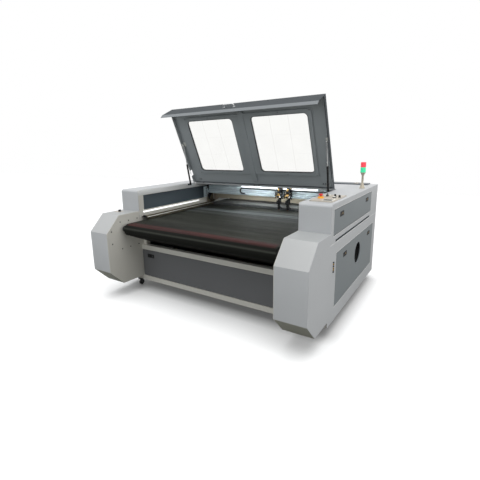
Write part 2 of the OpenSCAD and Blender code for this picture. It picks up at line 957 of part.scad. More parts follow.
module front_latches() {
    color("#1c1c1c") facing_front() for (y = front_latch_ys) latch_paddle(-frame_y0, y, front_latch_z);
}

// Cover over the rear tube compartment
module tube_cover() {
    color("#4a4e52") {
        difference() {
            box(-cover_x, cover_x, cover_y0, rear_y, top_z - cover_lip, top_z + cover_rise);
            box(-cover_x + sheet, cover_x - sheet, cover_y0 + sheet, rear_in_y, top_z - cover_lip - cut,
                top_z + cover_rise - sheet);
        }
        both_sides() rod_x(cover_x - sheet, cover_x + cover_pin_len, cover_pin_y, cover_pin_z, cover_pin_r);
    }
}

// Lid, drawn closed with the hinge at the origin and the front edge towards -Y
module lid_place() {
    translate([0, hinge_y, hinge_z]) rotate([-lid_open, 0, 0]) children();
}

module lid_box(x0, x1, s0, s1, n0, n1) {
    box(x0, x1, -s1, -s0, -n1, -n0);
}

module lid_window_outline(edge) {
    both_sides() polygon(rounded(window_x0 - edge, window_x0 + window_w + edge,
        -window_s0 - window_h - edge, -window_s0 + edge, window_r));
}

function rim_outline(s) = [
    [-lid_len, 0], [-lid_len, -lid_flange],
    [-lid_len + lid_rim * sin(rim_bend), -lid_flange - lid_rim * cos(rim_bend)],
    [-lid_len + lid_rim * sin(rim_bend) + s, -lid_flange - lid_rim * cos(rim_bend)],
    [-lid_len + s, -lid_flange], [-lid_len + s, 0]];

module lid_shell() {
    color("#666c6f") lid_place() difference() {
        union() {
            translate([0, 0, -sheet]) linear_extrude(sheet) difference() {
                translate([-lid_x, -lid_len]) square([2 * lid_x, lid_len - lid_back]);
                lid_window_outline(0);
            }
            along_x(-lid_x, lid_x) polygon(rim_outline(sheet));
            both_sides() lid_side();
            lid_box(-lid_x, lid_x, lid_back, lid_back + sheet, 0, lid_back_depth);
            for (x = hinge_xs) lid_knuckle(x);
        }
        for (x = hinge_xs)
            rod_x(x - knuckle_half - cut, x + knuckle_half + cut, 0, 0, hinge_pin_r + run_gap);
    }
}

hinge_xs = [for (side = [-1, 0, 1]) side * lid_x * hinge_x_share];

module lid_side() {
    difference() {
        lid_box(lid_x - sheet, lid_x, lid_back, lid_len - sheet / 2, 0, lid_side_depth);
        lid_box(lid_x - sheet - cut, lid_x + cut, strut_foot_y - notch_back, strut_foot_y + notch_front,
            notch_top, lid_side_depth + cut);
    }
    rod_x(lid_x - sheet - stud_base_t, lid_x - sheet / 2, -stud_s, -stud_n, stud_base_r);
    rod_x(strut_x + strut_eye_half + gap, lid_x - sheet, -stud_s, -stud_n, stud_r);
}

module lid_knuckle(x) {
    rod_x(x - knuckle_half, x + knuckle_half, 0, 0, knuckle_r);
    lid_box(x - knuckle_half, x + knuckle_half, 0, arm_len, 0, arm_t);
}

module lid_liner() {
    liner_n0 = sheet + pane_t;
    liner_x1 = window_x0 + window_w + liner_edge;
    color("#5c6265") lid_place() {
        translate([0, 0, -liner_n0 - liner_t]) linear_extrude(liner_t) difference() {
            translate([-liner_x1, -window_s0 - window_h - liner_edge])
                square([2 * liner_x1, window_h + 2 * liner_edge]);
            lid_window_outline(0);
        }
        lid_box(-liner_x0, liner_x0, rib_back, lid_len - rib_front, sheet, sheet + rib_depth);
    }
}

module lid_windows() {
    color("#eef2f2") lid_place() translate([0, 0, -sheet - pane_t]) linear_extrude(pane_t)
        lid_window_outline(pane_edge);
}

module lid_handle() {
    post_x = handle_len / 2 - 2 * handle_r;
    color("#d8dadc") lid_place() translate([handle_shift, 0, 0]) {
        rod_x(-handle_len / 2, handle_len / 2, -lid_len - handle_reach, -handle_n, handle_r);
        both_sides() {
            rod_y(-lid_len - handle_reach, -lid_len, post_x, -handle_n, handle_post_r);
            rod_y(-lid_len - handle_foot_t, -lid_len, post_x, -handle_n, handle_foot_r);
        }
    }
}

// Fixed halves of the lid hinges, with their pins, and the struts' foot brackets
module hinge_brackets() {
    bracket_x = strut_x + strut_cyl_r + bracket_gap;
    color("#3c3e40") {
        for (x = hinge_xs) {
            rod_x(x - knuckle_half - tab_t, x + knuckle_half + tab_t, hinge_y, hinge_z, hinge_pin_r);
            for (tab_x = [x - knuckle_half - tab_t, x + knuckle_half + gap]) hinge_tab(tab_x);
        }
        both_sides() {
            box(bracket_x, wall_x, foot_y - bracket_half_y, foot_y + bracket_half_y,
                foot_z - bracket_half_z, foot_z + bracket_half_z);
            rod_x(strut_x - strut_eye_half, bracket_x + cut, foot_y, foot_z, strut_pin_r);
        }
    }
}

module hinge_tab(x) {
    rod_x(x, x + tab_t - gap, hinge_y, hinge_z, knuckle_r);
    box(x, x + tab_t - gap, hinge_y, hinge_y + tab_len, top_z, hinge_z);
}

// Gas struts, drawn along -Y from their foot pin
module strut_place(side) {
    on_side(side) translate([strut_x, foot_y, foot_z]) rotate([-strut_angle, 0, 0]) children();
}

module strut_cylinder(side) {
    color("#1a1b1c") strut_place(side) difference() {
        union() {
            rod_x(-strut_eye_half, strut_eye_half, 0, 0, strut_eye_r);
            rod_y(-strut_cyl_len, -strut_start, 0, 0, strut_cyl_r);
        }
        rod_x(-strut_eye_half - strut_cyl_r, strut_eye_half + strut_cyl_r, 0, 0, strut_pin_r + run_gap);
        rod_y(-strut_cyl_len - cut, -strut_bore_start, 0, 0, strut_rod_r + run_gap);
    }
}

module strut_rod(side) {
    color("#8c9092") strut_place(side) {
        rod_y(-strut_len, -strut_len + strut_rod_len, 0, 0, strut_rod_r);
        rod_x(-strut_eye_half, strut_eye_half, -strut_len, 0, strut_eye_r);
    }
}

module left_strut_cylinder() { strut_cylinder(-1); }
module right_strut_cylinder() { strut_cylinder(1); }
module left_strut_rod() { strut_rod(-1); }
module right_strut_rod() { strut_rod(1); }

// Gantry
module gantry_beam() {
    color("#c8d4da") {
        difference() {
            box(-beam_x, beam_x, beam_y0, beam_y1, beam_z, beam_z1);
            box(-beam_x - cut, beam_x + cut, beam_y1 - groove_d, beam_y1 + cut, beam_z + groove_h,
                beam_z + 2 * groove_h);
            box(-beam_x - cut, beam_x + cut, beam_y1 - groove_d, beam_y1 + cut, beam_z1 - 2 * groove_h,
                beam_z1 - groove_h);
        }
        box(-beam_x + x_rail_end, beam_x - x_rail_end, x_rail_y - x_rail_w / 2, x_rail_y + x_rail_w / 2,
            beam_z1, beam_z1 + x_rail_h);
    }
}

module gantry_ends() {
    color("#26282a") {
        both_sides() difference() {
            union() {
                box(beam_x, beam_x + end_t, beam_y0 - end_over, beam_y1 + end_over,
                    ledge_z + rail_lift, beam_z1);
                box(rail_x - rail_block_half, beam_x + end_t, beam_y0 - end_over, beam_y1 + end_over,
                    ledge_z + rail_lift, ledge_z + rail_lift + rail_block_h);
            }
            box(rail_x - rail_w / 2 - slip, rail_x + rail_w / 2 + slip, beam_y0 - end_over - cut,
                beam_y1 + end_over + cut, ledge_z, ledge_z + rail_h + slip);
        }
        box(-beam_x, -beam_x + x_motor, beam_y1, beam_y1 + x_motor_len, beam_z, beam_z + x_motor);
    }
}

// Cable chain: a long run that bends down to the beam, with a notch between links
chain_x0 = chain_left + chain_r + chain_t / 2;
chain_x1 = beam_x - chain_right_gap;
chain_z = beam_z1 - chain_drop - chain_r;
chain_links = floor((chain_x1 - chain_x0) / chain_pitch);

function chain_edge(z0, side, links) = [for (i = [0:links - 1]) for (step = [0:3])
    let (x = chain_x0 + (chain_x1 - chain_x0) * (i + link_shares[step]) / chain_links)
    [x, z0 + side * (chain_t / 2 - ((step == 0 || step == 3) ? chain_notch : 0))]];

function backwards(points) = [for (i = [len(points) - 1:-1:0]) points[i]];

function chain_run(z0, links) = concat(chain_edge(z0, -1, links), backwards(chain_edge(z0, 1, links)));

module cable_chain() {
    bend = [chain_x0 + chain_pitch / 2, chain_z];
    color("#161717") along_y(beam_y0 - chain_d, beam_y0) {
        polygon(chain_run(chain_z + chain_r, chain_links));
        polygon(chain_run(chain_z - chain_r, chain_tail_links));
        polygon(concat(
            arc(bend, chain_r + chain_t / 2 - chain_notch, 90, 270, arc_steps),
            arc(bend, chain_r - chain_t / 2 + chain_notch, 270, 90, arc_steps)));
    }
}

// Cutting heads: a carriage on the beam's rail with an arm and plate in front
module cutting_head(x) {
    plate_y1 = beam_y0 - head_stand;
    plate_y0 = plate_y1 - head_plate_t;
    arm_z = beam_z1 + arm_rise;
    color("#222426") difference() {
        union() {
            box(x - head_half, x + head_half, x_rail_y - head_block_half, x_rail_y + head_block_half,
                beam_z1 + carriage_rise, arm_z + arm_h);
            box(x - head_half, x + head_half, plate_y0, x_rail_y, arm_z, arm_z + arm_h);
            box(x - head_half, x + head_half, plate_y0, plate_y1, belt_z + plate_waist, arm_z + arm_h);
            box(x - stem_half, x + stem_half, plate_y0, plate_y1, belt_z + plate_foot, arm_z + arm_h);
            box(x - holder_half, x + holder_half, head_y - holder_half, plate_y0,
                belt_z + holder_rise, belt_z + holder_rise + holder_h);
            mirror_mount(x, plate_y0);
            rod_y(head_y - holder_half - clamp_screw_len, head_y - lens_r - run_gap - gap, x,
                belt_z + holder_rise + holder_h / 2, clamp_screw_r);
        }
        box(x - head_half - cut, x + head_half + cut, x_rail_y - x_rail_w / 2 - slip,
            x_rail_y + x_rail_w / 2 + slip, beam_z1, beam_z1 + x_rail_h + slip);
        translate([x, head_y, belt_z + holder_rise - cut])
            cylinder(r = lens_r + run_gap, h = holder_h + 2 * cut);
    }
}

module mirror_mount(x, y1) {
    z0 = belt_z + mirror_rise;
    y0 = head_y - mirror_half;
    along_x(x - mirror_half, x + mirror_half)
        polygon([[y0, z0], [y1, z0], [y1, z0 + mirror_h], [y0 + mirror_cut, z0 + mirror_h],
            [y0, z0 + mirror_h - mirror_cut]]);
}

module lens_tube(x) {
    tip_z = belt_z + nozzle_rise;
    color("#26282a") translate([x, head_y, tip_z]) {
        cylinder(r1 = nozzle_r, r2 = lens_r, h = nozzle_len);
        translate([0, 0, nozzle_len]) cylinder(r = lens_r, h = lens_top - nozzle_len);
        translate([0, 0, nozzle_len + collar_rise]) cylinder(r = lens_r + collar_extra, h = collar_h);
    }
}

module left_head() { cutting_head(head_x); }
module right_head() { cutting_head(head_x + head_pitch); }
module left_lens_tube() { lens_tube(head_x); }
module right_lens_tube() { lens_tube(head_x + head_pitch); }

// Cabinet contents
module exhaust_blower() {
    duct_x = half_w - door_depth - duct_gap;
    case_x = duct_x - duct_len;
    pan_z = base_z + pan_t;
    color("#1e1f20") difference() {
        union() {
            rod_x(case_x - cut, duct_x, exhaust_y, exhaust_z, duct_r + duct_wall);
            box(case_x - blower_d, case_x, exhaust_y - blower_half, exhaust_y + blower_half,
                exhaust_z - blower_half, exhaust_z + blower_half);
            box(case_x - blower_d, case_x, exhaust_y - blower_leg, exhaust_y + blower_leg,
                pan_z, exhaust_z);
        }
        rod_x(case_x - duct_bore, duct_x + cut, exhaust_y, exhaust_z, duct_r);
    }
}

module power_supply() {
    supply_x = (inner_x + outer_x) / 2;
    supply_y = body_y + (rear_y - body_y) * supply_y_share;
    color("#9aa0a4") box(-supply_x - supply_w / 2, -supply_x + supply_w / 2, supply_y - supply_len / 2,
        supply_y + supply_len / 2, base_z + pan_t, base_z + pan_t + supply_h);
}

// Controls
module control_panel() {
    x0 = inner_x + panel_x0;
    y0 = body_y + panel_front;
    color("#d8d2c4") difference() {
        union() {
            translate([0, 0, top_z]) linear_extrude(panel_t)
                polygon(rounded(x0, x0 + panel_w, y0, y0 + panel_len, panel_r));
            translate([x0 + stop_x, y0 + stop_y, top_z])
                cylinder(r = stop_collar_r, h = panel_t + stop_collar_h);
            translate([x0 + key_x, y0 + key_y, top_z])
                cylinder(r = key_r + sheet, h = panel_t + sheet);
        }
        translate([x0 + stop_x, y0 + stop_y, top_z + panel_t + stop_collar_h - stop_bore_depth])
            cylinder(r = stop_stem_r + run_gap, h = stop_bore_depth + cut);
        translate([x0 + key_x, y0 + key_y, top_z + panel_t + sheet - key_stem - gap])
            cylinder(r = key_stem_r + run_gap, h = key_stem + gap + cut);
    }
}

module stop_button() {
    x0 = inner_x + panel_x0 + stop_x;
    y0 = body_y + panel_front + stop_y;
    z0 = top_z + panel_t + stop_collar_h;
    color("#c81e1e") translate([x0, y0, z0]) {
        translate([0, 0, -stop_stem_in]) cylinder(r = stop_stem_r, h = stop_stem_in + stop_lift + stop_h / 2);
        translate([0, 0, stop_lift]) cylinder(r = stop_r, h = stop_h);
    }
}

module key_switch() {
    x0 = inner_x + panel_x0 + key_x;
    y0 = body_y + panel_front + key_y;
    z0 = top_z + panel_t + sheet;
    color("#b0b4b8") translate([x0, y0, z0]) {
        translate([0, 0, -key_stem]) cylinder(r = key_stem_r, h = key_stem + key_h);
        translate([0, 0, gap]) cylinder(r = key_r, h = key_h - gap);
        box(-key_grip_w / 2, key_grip_w / 2, -key_r + sheet, key_r - sheet, key_h - gap, key_h + key_grip_h);
    }
}

module feed_knob() {
    color("#181818") translate([-half_w + knob_x, body_y - knob_y, ear_top_z]) {
        translate([0, 0, gap]) cylinder(r = knob_base_r, h = knob_base_h);
        translate([0, 0, gap]) cylinder(r = knob_r, h = knob_h);
        box(-sheet, sheet, -knob_r - sheet, knob_r, knob_base_h, knob_h + sheet);
    }
}

module lamp_place(z) {
    translate([half_w - lamp_x, rear_y - lamp_back, top_z + z]) children();
}

module signal_pole() {
    color("#c8beac") {
        lamp_place(0) cylinder(r1 = lamp_foot_r, r2 = pole_neck_r, h = lamp_foot_h);
        lamp_place(lamp_foot_h) cylinder(r = pole_r, h = pole_h);
        lamp_place(lamp_foot_h + pole_h) cylinder(r1 = pole_neck_r, r2 = lamp_r, h = cup_h);
    }
}

module signal_lamps() {
    color("#e03440") {
        lamp_place(lamp_foot_h + pole_h + cup_h) cylinder(r = lamp_r, h = lamp_h - lamp_seam);
        lamp_place(lamp_foot_h + pole_h + cup_h) cylinder(r = lamp_r - lamp_seam, h = 2 * lamp_h);
        lamp_place(lamp_foot_h + pole_h + cup_h + lamp_h) cylinder(r = lamp_r, h = lamp_h);
    }
}

// Casters: the front pair swivels and the rear pair is fixed to the frame
module caster_fork(y, trail, stem) {
    x = half_w - caster_x;
    top = stem > 0 ? base_z - gap : base_z;
    reach = wheel_w / 2 + fork_gap;
    translate([x, y, base_z - caster_disc_h]) {
        cylinder(r = caster_disc_r, h = top - base_z + caster_disc_h);
        if (stem > 0) cylinder(r = caster_stem_r, h = caster_disc_h + stem);
    }
    for (side = [-1, 1]) caster_cheek(x + side * (reach + cheek_t / 2), y + trail, y);
    rod_x(x - reach - cheek_t, x + reach + cheek_t, y + trail, wheel_z, axle_r);
}

module caster_cheek(x, axle_y, y) {
    z1 = base_z - caster_disc_h + sheet;
    box(x - cheek_t / 2, x + cheek_t / 2, axle_y - cheek_w / 2, axle_y + cheek_w / 2,
        wheel_z - 2 * axle_r, z1);
    box(x - cheek_t / 2, x + cheek_t / 2, min(y, axle_y) - cheek_w / 2, max(y, axle_y) + cheek_w / 2,
        wheel_z + wheel_r + fork_gap, z1);
}

module left_caster_fork() {
    color("#7c8082") mirror([1, 0, 0]) caster_fork(caster_y, caster_trail, caster_stem);
}

module right_caster_fork() {
    color("#7c8082") caster_fork(caster_y, caster_trail, caster_stem);
}

module caster_wheel(y) {
    x = half_w - caster_x;
    difference() {
        rod_x(x - wheel_w / 2, x + wheel_w / 2, y, wheel_z, wheel_r);
        rod_x(x - wheel_w, x + wheel_w, y, wheel_z, axle_r + run_gap);
    }
}

module left_caster_wheel() {
    color("#1c1c1e") mirror([1, 0, 0]) caster_wheel(caster_y + caster_trail);
}

module right_caster_wheel() {
    color("#1c1c1e") caster_wheel(caster_y + caster_trail);
}

module rear_wheels() {
    color("#1c1c1e") both_sides() caster_wheel(rear_caster_y - caster_trail);
}

base_frame();
left_side_panel();
right_side_panel();
ear_wraps();
ear_plates();
left_upper_cover();
right_upper_cover();
inner_walls();
recess_panels();
led_bars();
edge_ledges();
rear_wall();
top_cover();
rear_panel();
left_cover_plates();
belt();
belt_bed();
roller_bearings();
laser_tubes();
exhaust_blower();
power_supply();
feed_motor();
levelling_feet();
signal_pole();
signal_lamps();
control_panel();
hinge_brackets();
tube_cover();
right_upper_door();
right_lower_door();
front_door();
upper_latches();
lower_latches();
front_latches();
lid_shell();
lid_liner();
lid_windows();
lid_handle();
left_strut_cylinder();
right_strut_cylinder();
left_strut_rod();
right_strut_rod();
gantry_beam();
gantry_ends();
cable_chain();
left_head();
right_head();
left_lens_tube();
right_lens_tube();
front_roller();
rear_roller();
tension_roller();
stop_button();
key_switch();
feed_knob();
left_caster_fork();
right_caster_fork();
left_caster_wheel();
right_caster_wheel();
rear_wheels();
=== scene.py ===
import json
import math

import bmesh
import bpy
from mathutils import Matrix, Vector

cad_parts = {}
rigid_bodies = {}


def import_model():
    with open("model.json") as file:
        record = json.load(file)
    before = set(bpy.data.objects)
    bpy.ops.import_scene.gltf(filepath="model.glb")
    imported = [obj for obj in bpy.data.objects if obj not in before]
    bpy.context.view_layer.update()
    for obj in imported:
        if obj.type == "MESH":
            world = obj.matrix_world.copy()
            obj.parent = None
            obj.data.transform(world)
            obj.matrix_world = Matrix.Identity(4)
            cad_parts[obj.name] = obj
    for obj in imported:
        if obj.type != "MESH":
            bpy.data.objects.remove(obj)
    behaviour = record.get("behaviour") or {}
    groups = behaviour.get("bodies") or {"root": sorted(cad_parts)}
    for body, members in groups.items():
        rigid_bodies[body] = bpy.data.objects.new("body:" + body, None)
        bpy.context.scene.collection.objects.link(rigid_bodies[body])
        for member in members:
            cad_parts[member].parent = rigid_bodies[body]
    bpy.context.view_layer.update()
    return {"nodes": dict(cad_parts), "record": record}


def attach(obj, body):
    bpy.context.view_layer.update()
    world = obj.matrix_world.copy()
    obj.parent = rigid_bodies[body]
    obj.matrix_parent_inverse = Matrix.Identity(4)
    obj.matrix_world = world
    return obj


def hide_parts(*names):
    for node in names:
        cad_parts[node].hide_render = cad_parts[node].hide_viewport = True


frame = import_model()

scene = bpy.context.scene
X, Y, Z = Vector((1, 0, 0)), Vector((0, 1, 0)), Vector((0, 0, 1))
SIDES = (-1, 1)
COLOUR, VALUE = "NodeSocketColor", "NodeSocketFloat"
SURFACE = [("Colour", COLOUR), ("Roughness", VALUE), ("Height", VALUE)]
NOISE_LOW, NOISE_HIGH = 0.3, 0.7
WHITE, COOL = (1.0, 1.0, 1.0, 1), (0.94, 0.98, 1.0, 1)


# Colours are given as they look on a screen and turned into light values here
def linear(*screen):
    shares = (v / 255 for v in screen)
    return tuple(c / 12.92 if c <= 0.04045 else ((c + 0.055) / 1.055) ** 2.4 for c in shares) + (1.0,)


# Short ways to add and join shader nodes
class Nodes:
    def __init__(self, tree):
        self.tree = tree

    def node(self, kind, links=(), **values):
        n = self.tree.nodes.new(kind)
        for key, value in values.items():
            setattr(n, key, value)
        for socket, source in dict(links).items():
            if isinstance(source, bpy.types.NodeSocket):
                self.tree.links.new(source, n.inputs[socket])
            else:
                n.inputs[socket].default_value = source
        return n

    def sum(self, operation, a, b=0.0, clamp=False):
        return self.node("ShaderNodeMath", {0: a, 1: b}, operation=operation, use_clamp=clamp).outputs[0]

    def times(self, a, b, clamp=False):
        return self.sum("MULTIPLY", a, b, clamp)

    def blend(self, factor, a, b):
        return self.node("ShaderNodeMix", {0: factor, 6: a, 7: b}, data_type="RGBA").outputs[2]

    def parts(self, vector):
        return self.node("ShaderNodeSeparateXYZ", {0: vector}).outputs


# Shared surface effects
class Group(Nodes):
    def __init__(self, name, inputs, outputs):
        super().__init__(bpy.data.node_groups.new(name, "ShaderNodeTree"))
        for label, kind, value in inputs:
            socket = self.tree.interface.new_socket(label, in_out="INPUT", socket_type=kind)
            socket.default_value = value
        for label, kind in outputs:
            self.tree.interface.new_socket(label, in_out="OUTPUT", socket_type=kind)
        self.inp = self.tree.nodes.new("NodeGroupInput").outputs
        self.out = self.tree.nodes.new("NodeGroupOutput").inputs

    def place(self):
        return self.node("ShaderNodeTexCoord").outputs["Object"]

    def noise(self, where, scale, detail=2.0, rough=0.5):
        values = {"Vector": where, "Scale": scale, "Detail": detail, "Roughness": rough}
        return self.node("ShaderNodeTexNoise", values).outputs["Fac"]

    def stretched(self, where, scale):
        return self.node("ShaderNodeMapping", {"Vector": where, "Scale": scale}).outputs[0]

    def ramp(self, value, low, high, to_low=0.0, to_high=1.0):
        return self.node("ShaderNodeMapRange", {0: value, 1: low, 2: high, 3: to_low, 4: to_high}).outputs[0]

    def vary(self, noise, to_low, to_high):
        return self.ramp(noise, NOISE_LOW, NOISE_HIGH, to_low, to_high)

    def scaled(self, colour, value):
        grey = self.node("ShaderNodeCombineColor", {0: value, 1: value, 2: value}).outputs[0]
        both = {0: 1.0, 6: colour, 7: grey}
        return self.node("ShaderNodeMix", both, data_type="RGBA", blend_type="MULTIPLY").outputs[2]

    def give(self, label, source):
        self.tree.links.new(source, self.out[label])

    # What paint, plastic and metal share: a toned colour, a gloss that varies with wear, a height
    def coat(self, label, tone, wear, low, high, height):
        self.give("Colour", self.scaled(self.inp[label], tone))
        self.give("Roughness", self.sum("ADD", self.inp["Gloss"], self.vary(wear, low, high)))
        self.give("Height", height)
        return self.tree


def powder_coat_group():
    g = Group("powder_coat", [("Paint", COLOUR, (0.5, 0.5, 0.5, 1)), ("Gloss", VALUE, 0.45)], SURFACE)
    where = g.place()
    cloud = g.noise(where, 2.3, 3.0)
    grain = g.noise(where, 900.0, 1.0)
    # tone up to 7% darker over the lowest 0.35 m
    low = g.ramp(g.parts(where)[2], 0.0, 0.35, 0.93, 1.0)
    tone = g.times(g.times(g.vary(cloud, 0.965, 1.03), low), g.vary(grain, 0.97, 1.03))
    return g.coat("Paint", tone, cloud, -0.05, 0.07, g.noise(where, 260.0, 2.0))


def moulded_group():
    g = Group("moulded_plastic", [("Tint", COLOUR, (0.05, 0.05, 0.05, 1)), ("Gloss", VALUE, 0.4)], SURFACE)
    where = g.place()
    wear = g.noise(where, 18.0, 4.0, 0.6)
    return g.coat("Tint", g.vary(wear, 0.88, 1.12), wear, -0.08, 0.1, g.noise(where, 1400.0, 2.0))


def brushed_group():
    g = Group("brushed_metal", [("Metal", COLOUR, (0.6, 0.6, 0.6, 1)), ("Gloss", VALUE, 0.3)], SURFACE)
    where = g.place()
    streak = g.noise(g.stretched(where, (3.0, 420.0, 420.0)), 1.0, 3.0)
    stain = g.noise(where, 9.0, 4.0, 0.6)
    tone = g.times(g.vary(streak, 0.9, 1.08), g.vary(stain, 0.92, 1.06))
    return g.coat("Metal", tone, streak, -0.07, 0.1, streak)


# Knitted belt: streaks on its flat top, a painted sheen band under the gantry, painted shade off its flat top and a
# painted highlight along the front roller's crown
def mesh_belt_group():
    row_pitch, loop_pitch = 0.012, 0.018
    top_low, top_high, highlight_z, highlight_reach = 0.761, 0.7705, 0.734, 0.013
    colours = (("Dark", (16, 17, 14)), ("Light", (72, 74, 68)), ("Sheen", (100, 105, 106)))
    g = Group("mesh_belt", [(label, COLOUR, linear(*screen)) for label, screen in colours], SURFACE)
    uv = g.node("ShaderNodeUVMap").outputs[0]
    across, along, _ = g.parts(uv)
    band = g.noise(g.stretched(uv, (0.2, 9.0, 1.0)), 1.0, 3.0, 0.6)
    streak = g.noise(g.stretched(uv, (0.5, 26.0, 1.0)), 1.0, 5.0, 0.75)
    fine = g.noise(g.stretched(uv, (3.0, 150.0, 1.0)), 1.0, 2.0, 0.6)
    row = g.sum("SINE", g.times(along, 2 * math.pi / row_pitch))
    shift = g.times(g.sum("GREATER_THAN", row), math.pi)
    loop = g.sum("SINE", g.sum("ADD", g.times(across, 2 * math.pi / loop_pitch), shift))
    knit = g.times(g.sum("ABSOLUTE", row), g.ramp(loop, -1.0, 1.0, 0.35, 1.0))
    mask = g.times(g.ramp(streak, 0.42, 0.58, 0.06, 1.1), g.ramp(knit, 0.0, 1.0, 0.6, 1.0))
    mask = g.times(mask, g.vary(fine, 0.6, 1.4))
    mask = g.times(mask, g.ramp(band, 0.35, 0.65, 0.45, 1.15))
    _, depth, height = g.parts(g.place())
    # Painted shade: off its flat top (on the rollers and the return run) the belt keeps only its dark colour
    flat = g.ramp(height, top_low, top_high, 0.05, 1.0)
    # Painted sheen: a band of the belt under the gantry made lighter and bluer, standing in for reflected light
    painted_sheen = g.times(g.ramp(depth, 0.32, 0.48, 1.0, 0.0), g.ramp(depth, -0.02, 0.31, 0.0, 1.0))
    mask = g.times(g.times(mask, flat), g.ramp(painted_sheen, 0.0, 1.0, 0.75, 1.15), True)
    # Painted highlight: a light line along the front roller's crown, shown through the knit pattern
    edge = g.ramp(g.sum("ABSOLUTE", g.sum("SUBTRACT", height, highlight_z)), 0.0, highlight_reach, 1.0, 0.0)
    edge = g.times(edge, g.ramp(depth, -0.78, -0.76, 1.0, 0.0))
    mask = g.sum("MAXIMUM", mask, g.times(edge, g.ramp(knit, 0.18, 0.6)))
    g.give("Colour", g.blend(mask, g.inp["Dark"], g.blend(painted_sheen, g.inp["Light"], g.inp["Sheen"])))
    g.give("Roughness", g.vary(streak, 0.55, 0.75))
    g.give("Height", g.sum("ADD", knit, g.times(fine, 0.4)))
    return g.tree


def film_lines_group():
    inputs = [("Clear", COLOUR, (0.97, 0.97, 0.95, 1)), ("Line", COLOUR, (0.78, 0.78, 0.76, 1))]
    panes, half_line = 3.0, 0.006
    g = Group("film_lines", inputs, [("Colour", COLOUR), ("Roughness", VALUE)])
    uv = g.node("ShaderNodeUVMap").outputs[0]
    across, along, _ = g.parts(uv)
    lines = []
    for socket, share in ((across, 1.0), (along, 0.3)):
        wave = g.sum("FRACT", g.sum("ADD", g.times(socket, panes), 0.5))
        off = g.sum("ABSOLUTE", g.sum("SUBTRACT", wave, 0.5))
        lines.append(g.times(g.sum("LESS_THAN", off, half_line), share))
    haze = g.noise(g.stretched(uv, (3.0, 3.0, 3.0)), 1.0, 3.0)
    hazed = g.scaled(g.inp["Clear"], g.vary(haze, 0.97, 1.0))
    g.give("Colour", g.blend(g.sum("MAXIMUM", *lines), hazed, g.inp["Line"]))
    g.give("Roughness", g.vary(haze, 0.02, 0.07))
    return g.tree


def lit_plastic_group():
    outputs = [("Colour", COLOUR), ("Glow", COLOUR), ("Roughness", VALUE)]
    g = Group("lit_plastic", [("Tint", COLOUR, (1, 1, 1, 1))], outputs)
    cloud = g.noise(g.place(), 45.0, 3.0)
    g.give("Colour", g.scaled(g.inp["Tint"], g.vary(cloud, 0.9, 1.0)))
    g.give("Glow", g.scaled(g.inp["Tint"], g.vary(cloud, 0.85, 1.0)))
    g.give("Roughness", g.vary(cloud, 0.2, 0.35))
    return g.tree


POWDER, MOULDED, BRUSHED = powder_coat_group(), moulded_group(), brushed_group()
BELT_MESH, FILM, LIT = mesh_belt_group(), film_lines_group(), lit_plastic_group()


def material(name, group, values, bump=0.0, reach=0.001, glow=0.0, **shader):
    m = bpy.data.materials.new(name)
    m.use_nodes = True
    t = Nodes(m.node_tree)
    link = t.tree.links.new
    principled = t.tree.nodes["Principled BSDF"].inputs
    effect = t.node("ShaderNodeGroup", node_tree=group)
    for label, value in values.items():
        effect.inputs[label].default_value = value
    link(effect.outputs["Colour"], principled["Base Color"])
    link(effect.outputs["Roughness"], principled["Roughness"])
    if bump:
        rough = t.node("ShaderNodeBump", {"Strength": bump, "Distance": reach, "Height": effect.outputs["Height"]})
        link(rough.outputs[0], principled["Normal"])
    if glow:
        link(effect.outputs["Glow"], principled["Emission Color"])
        principled["Emission Strength"].default_value = glow
    for label, value in shader.items():
        principled[label.replace("_", " ")].default_value = value
    return m


def paint(name, screen, gloss=0.42, **shader):
    return material(name, POWDER, {"Paint": linear(*screen), "Gloss": gloss}, 0.1, 0.0004, **shader)


def plastic(name, screen, gloss=0.4, bump=0.15, **shader):
    return material(name, MOULDED, {"Tint": linear(*screen), "Gloss": gloss}, bump, 0.0003, **shader)


def metal(name, screen, gloss=0.3, bump=0.06, metallic=1.0):
    return material(name, BRUSHED, {"Metal": linear(*screen), "Gloss": gloss}, bump, 0.0002, Metallic=metallic)


def woven(name, specular, **screens):
    colours = {label: linear(*screen) for label, screen in screens.items()}
    return material(name, BELT_MESH, colours, 0.6, 0.003, Specular_IOR_Level=specular)


def lit(name, tint, glow):
    return material(name, LIT, {"Tint": tint}, glow=glow)


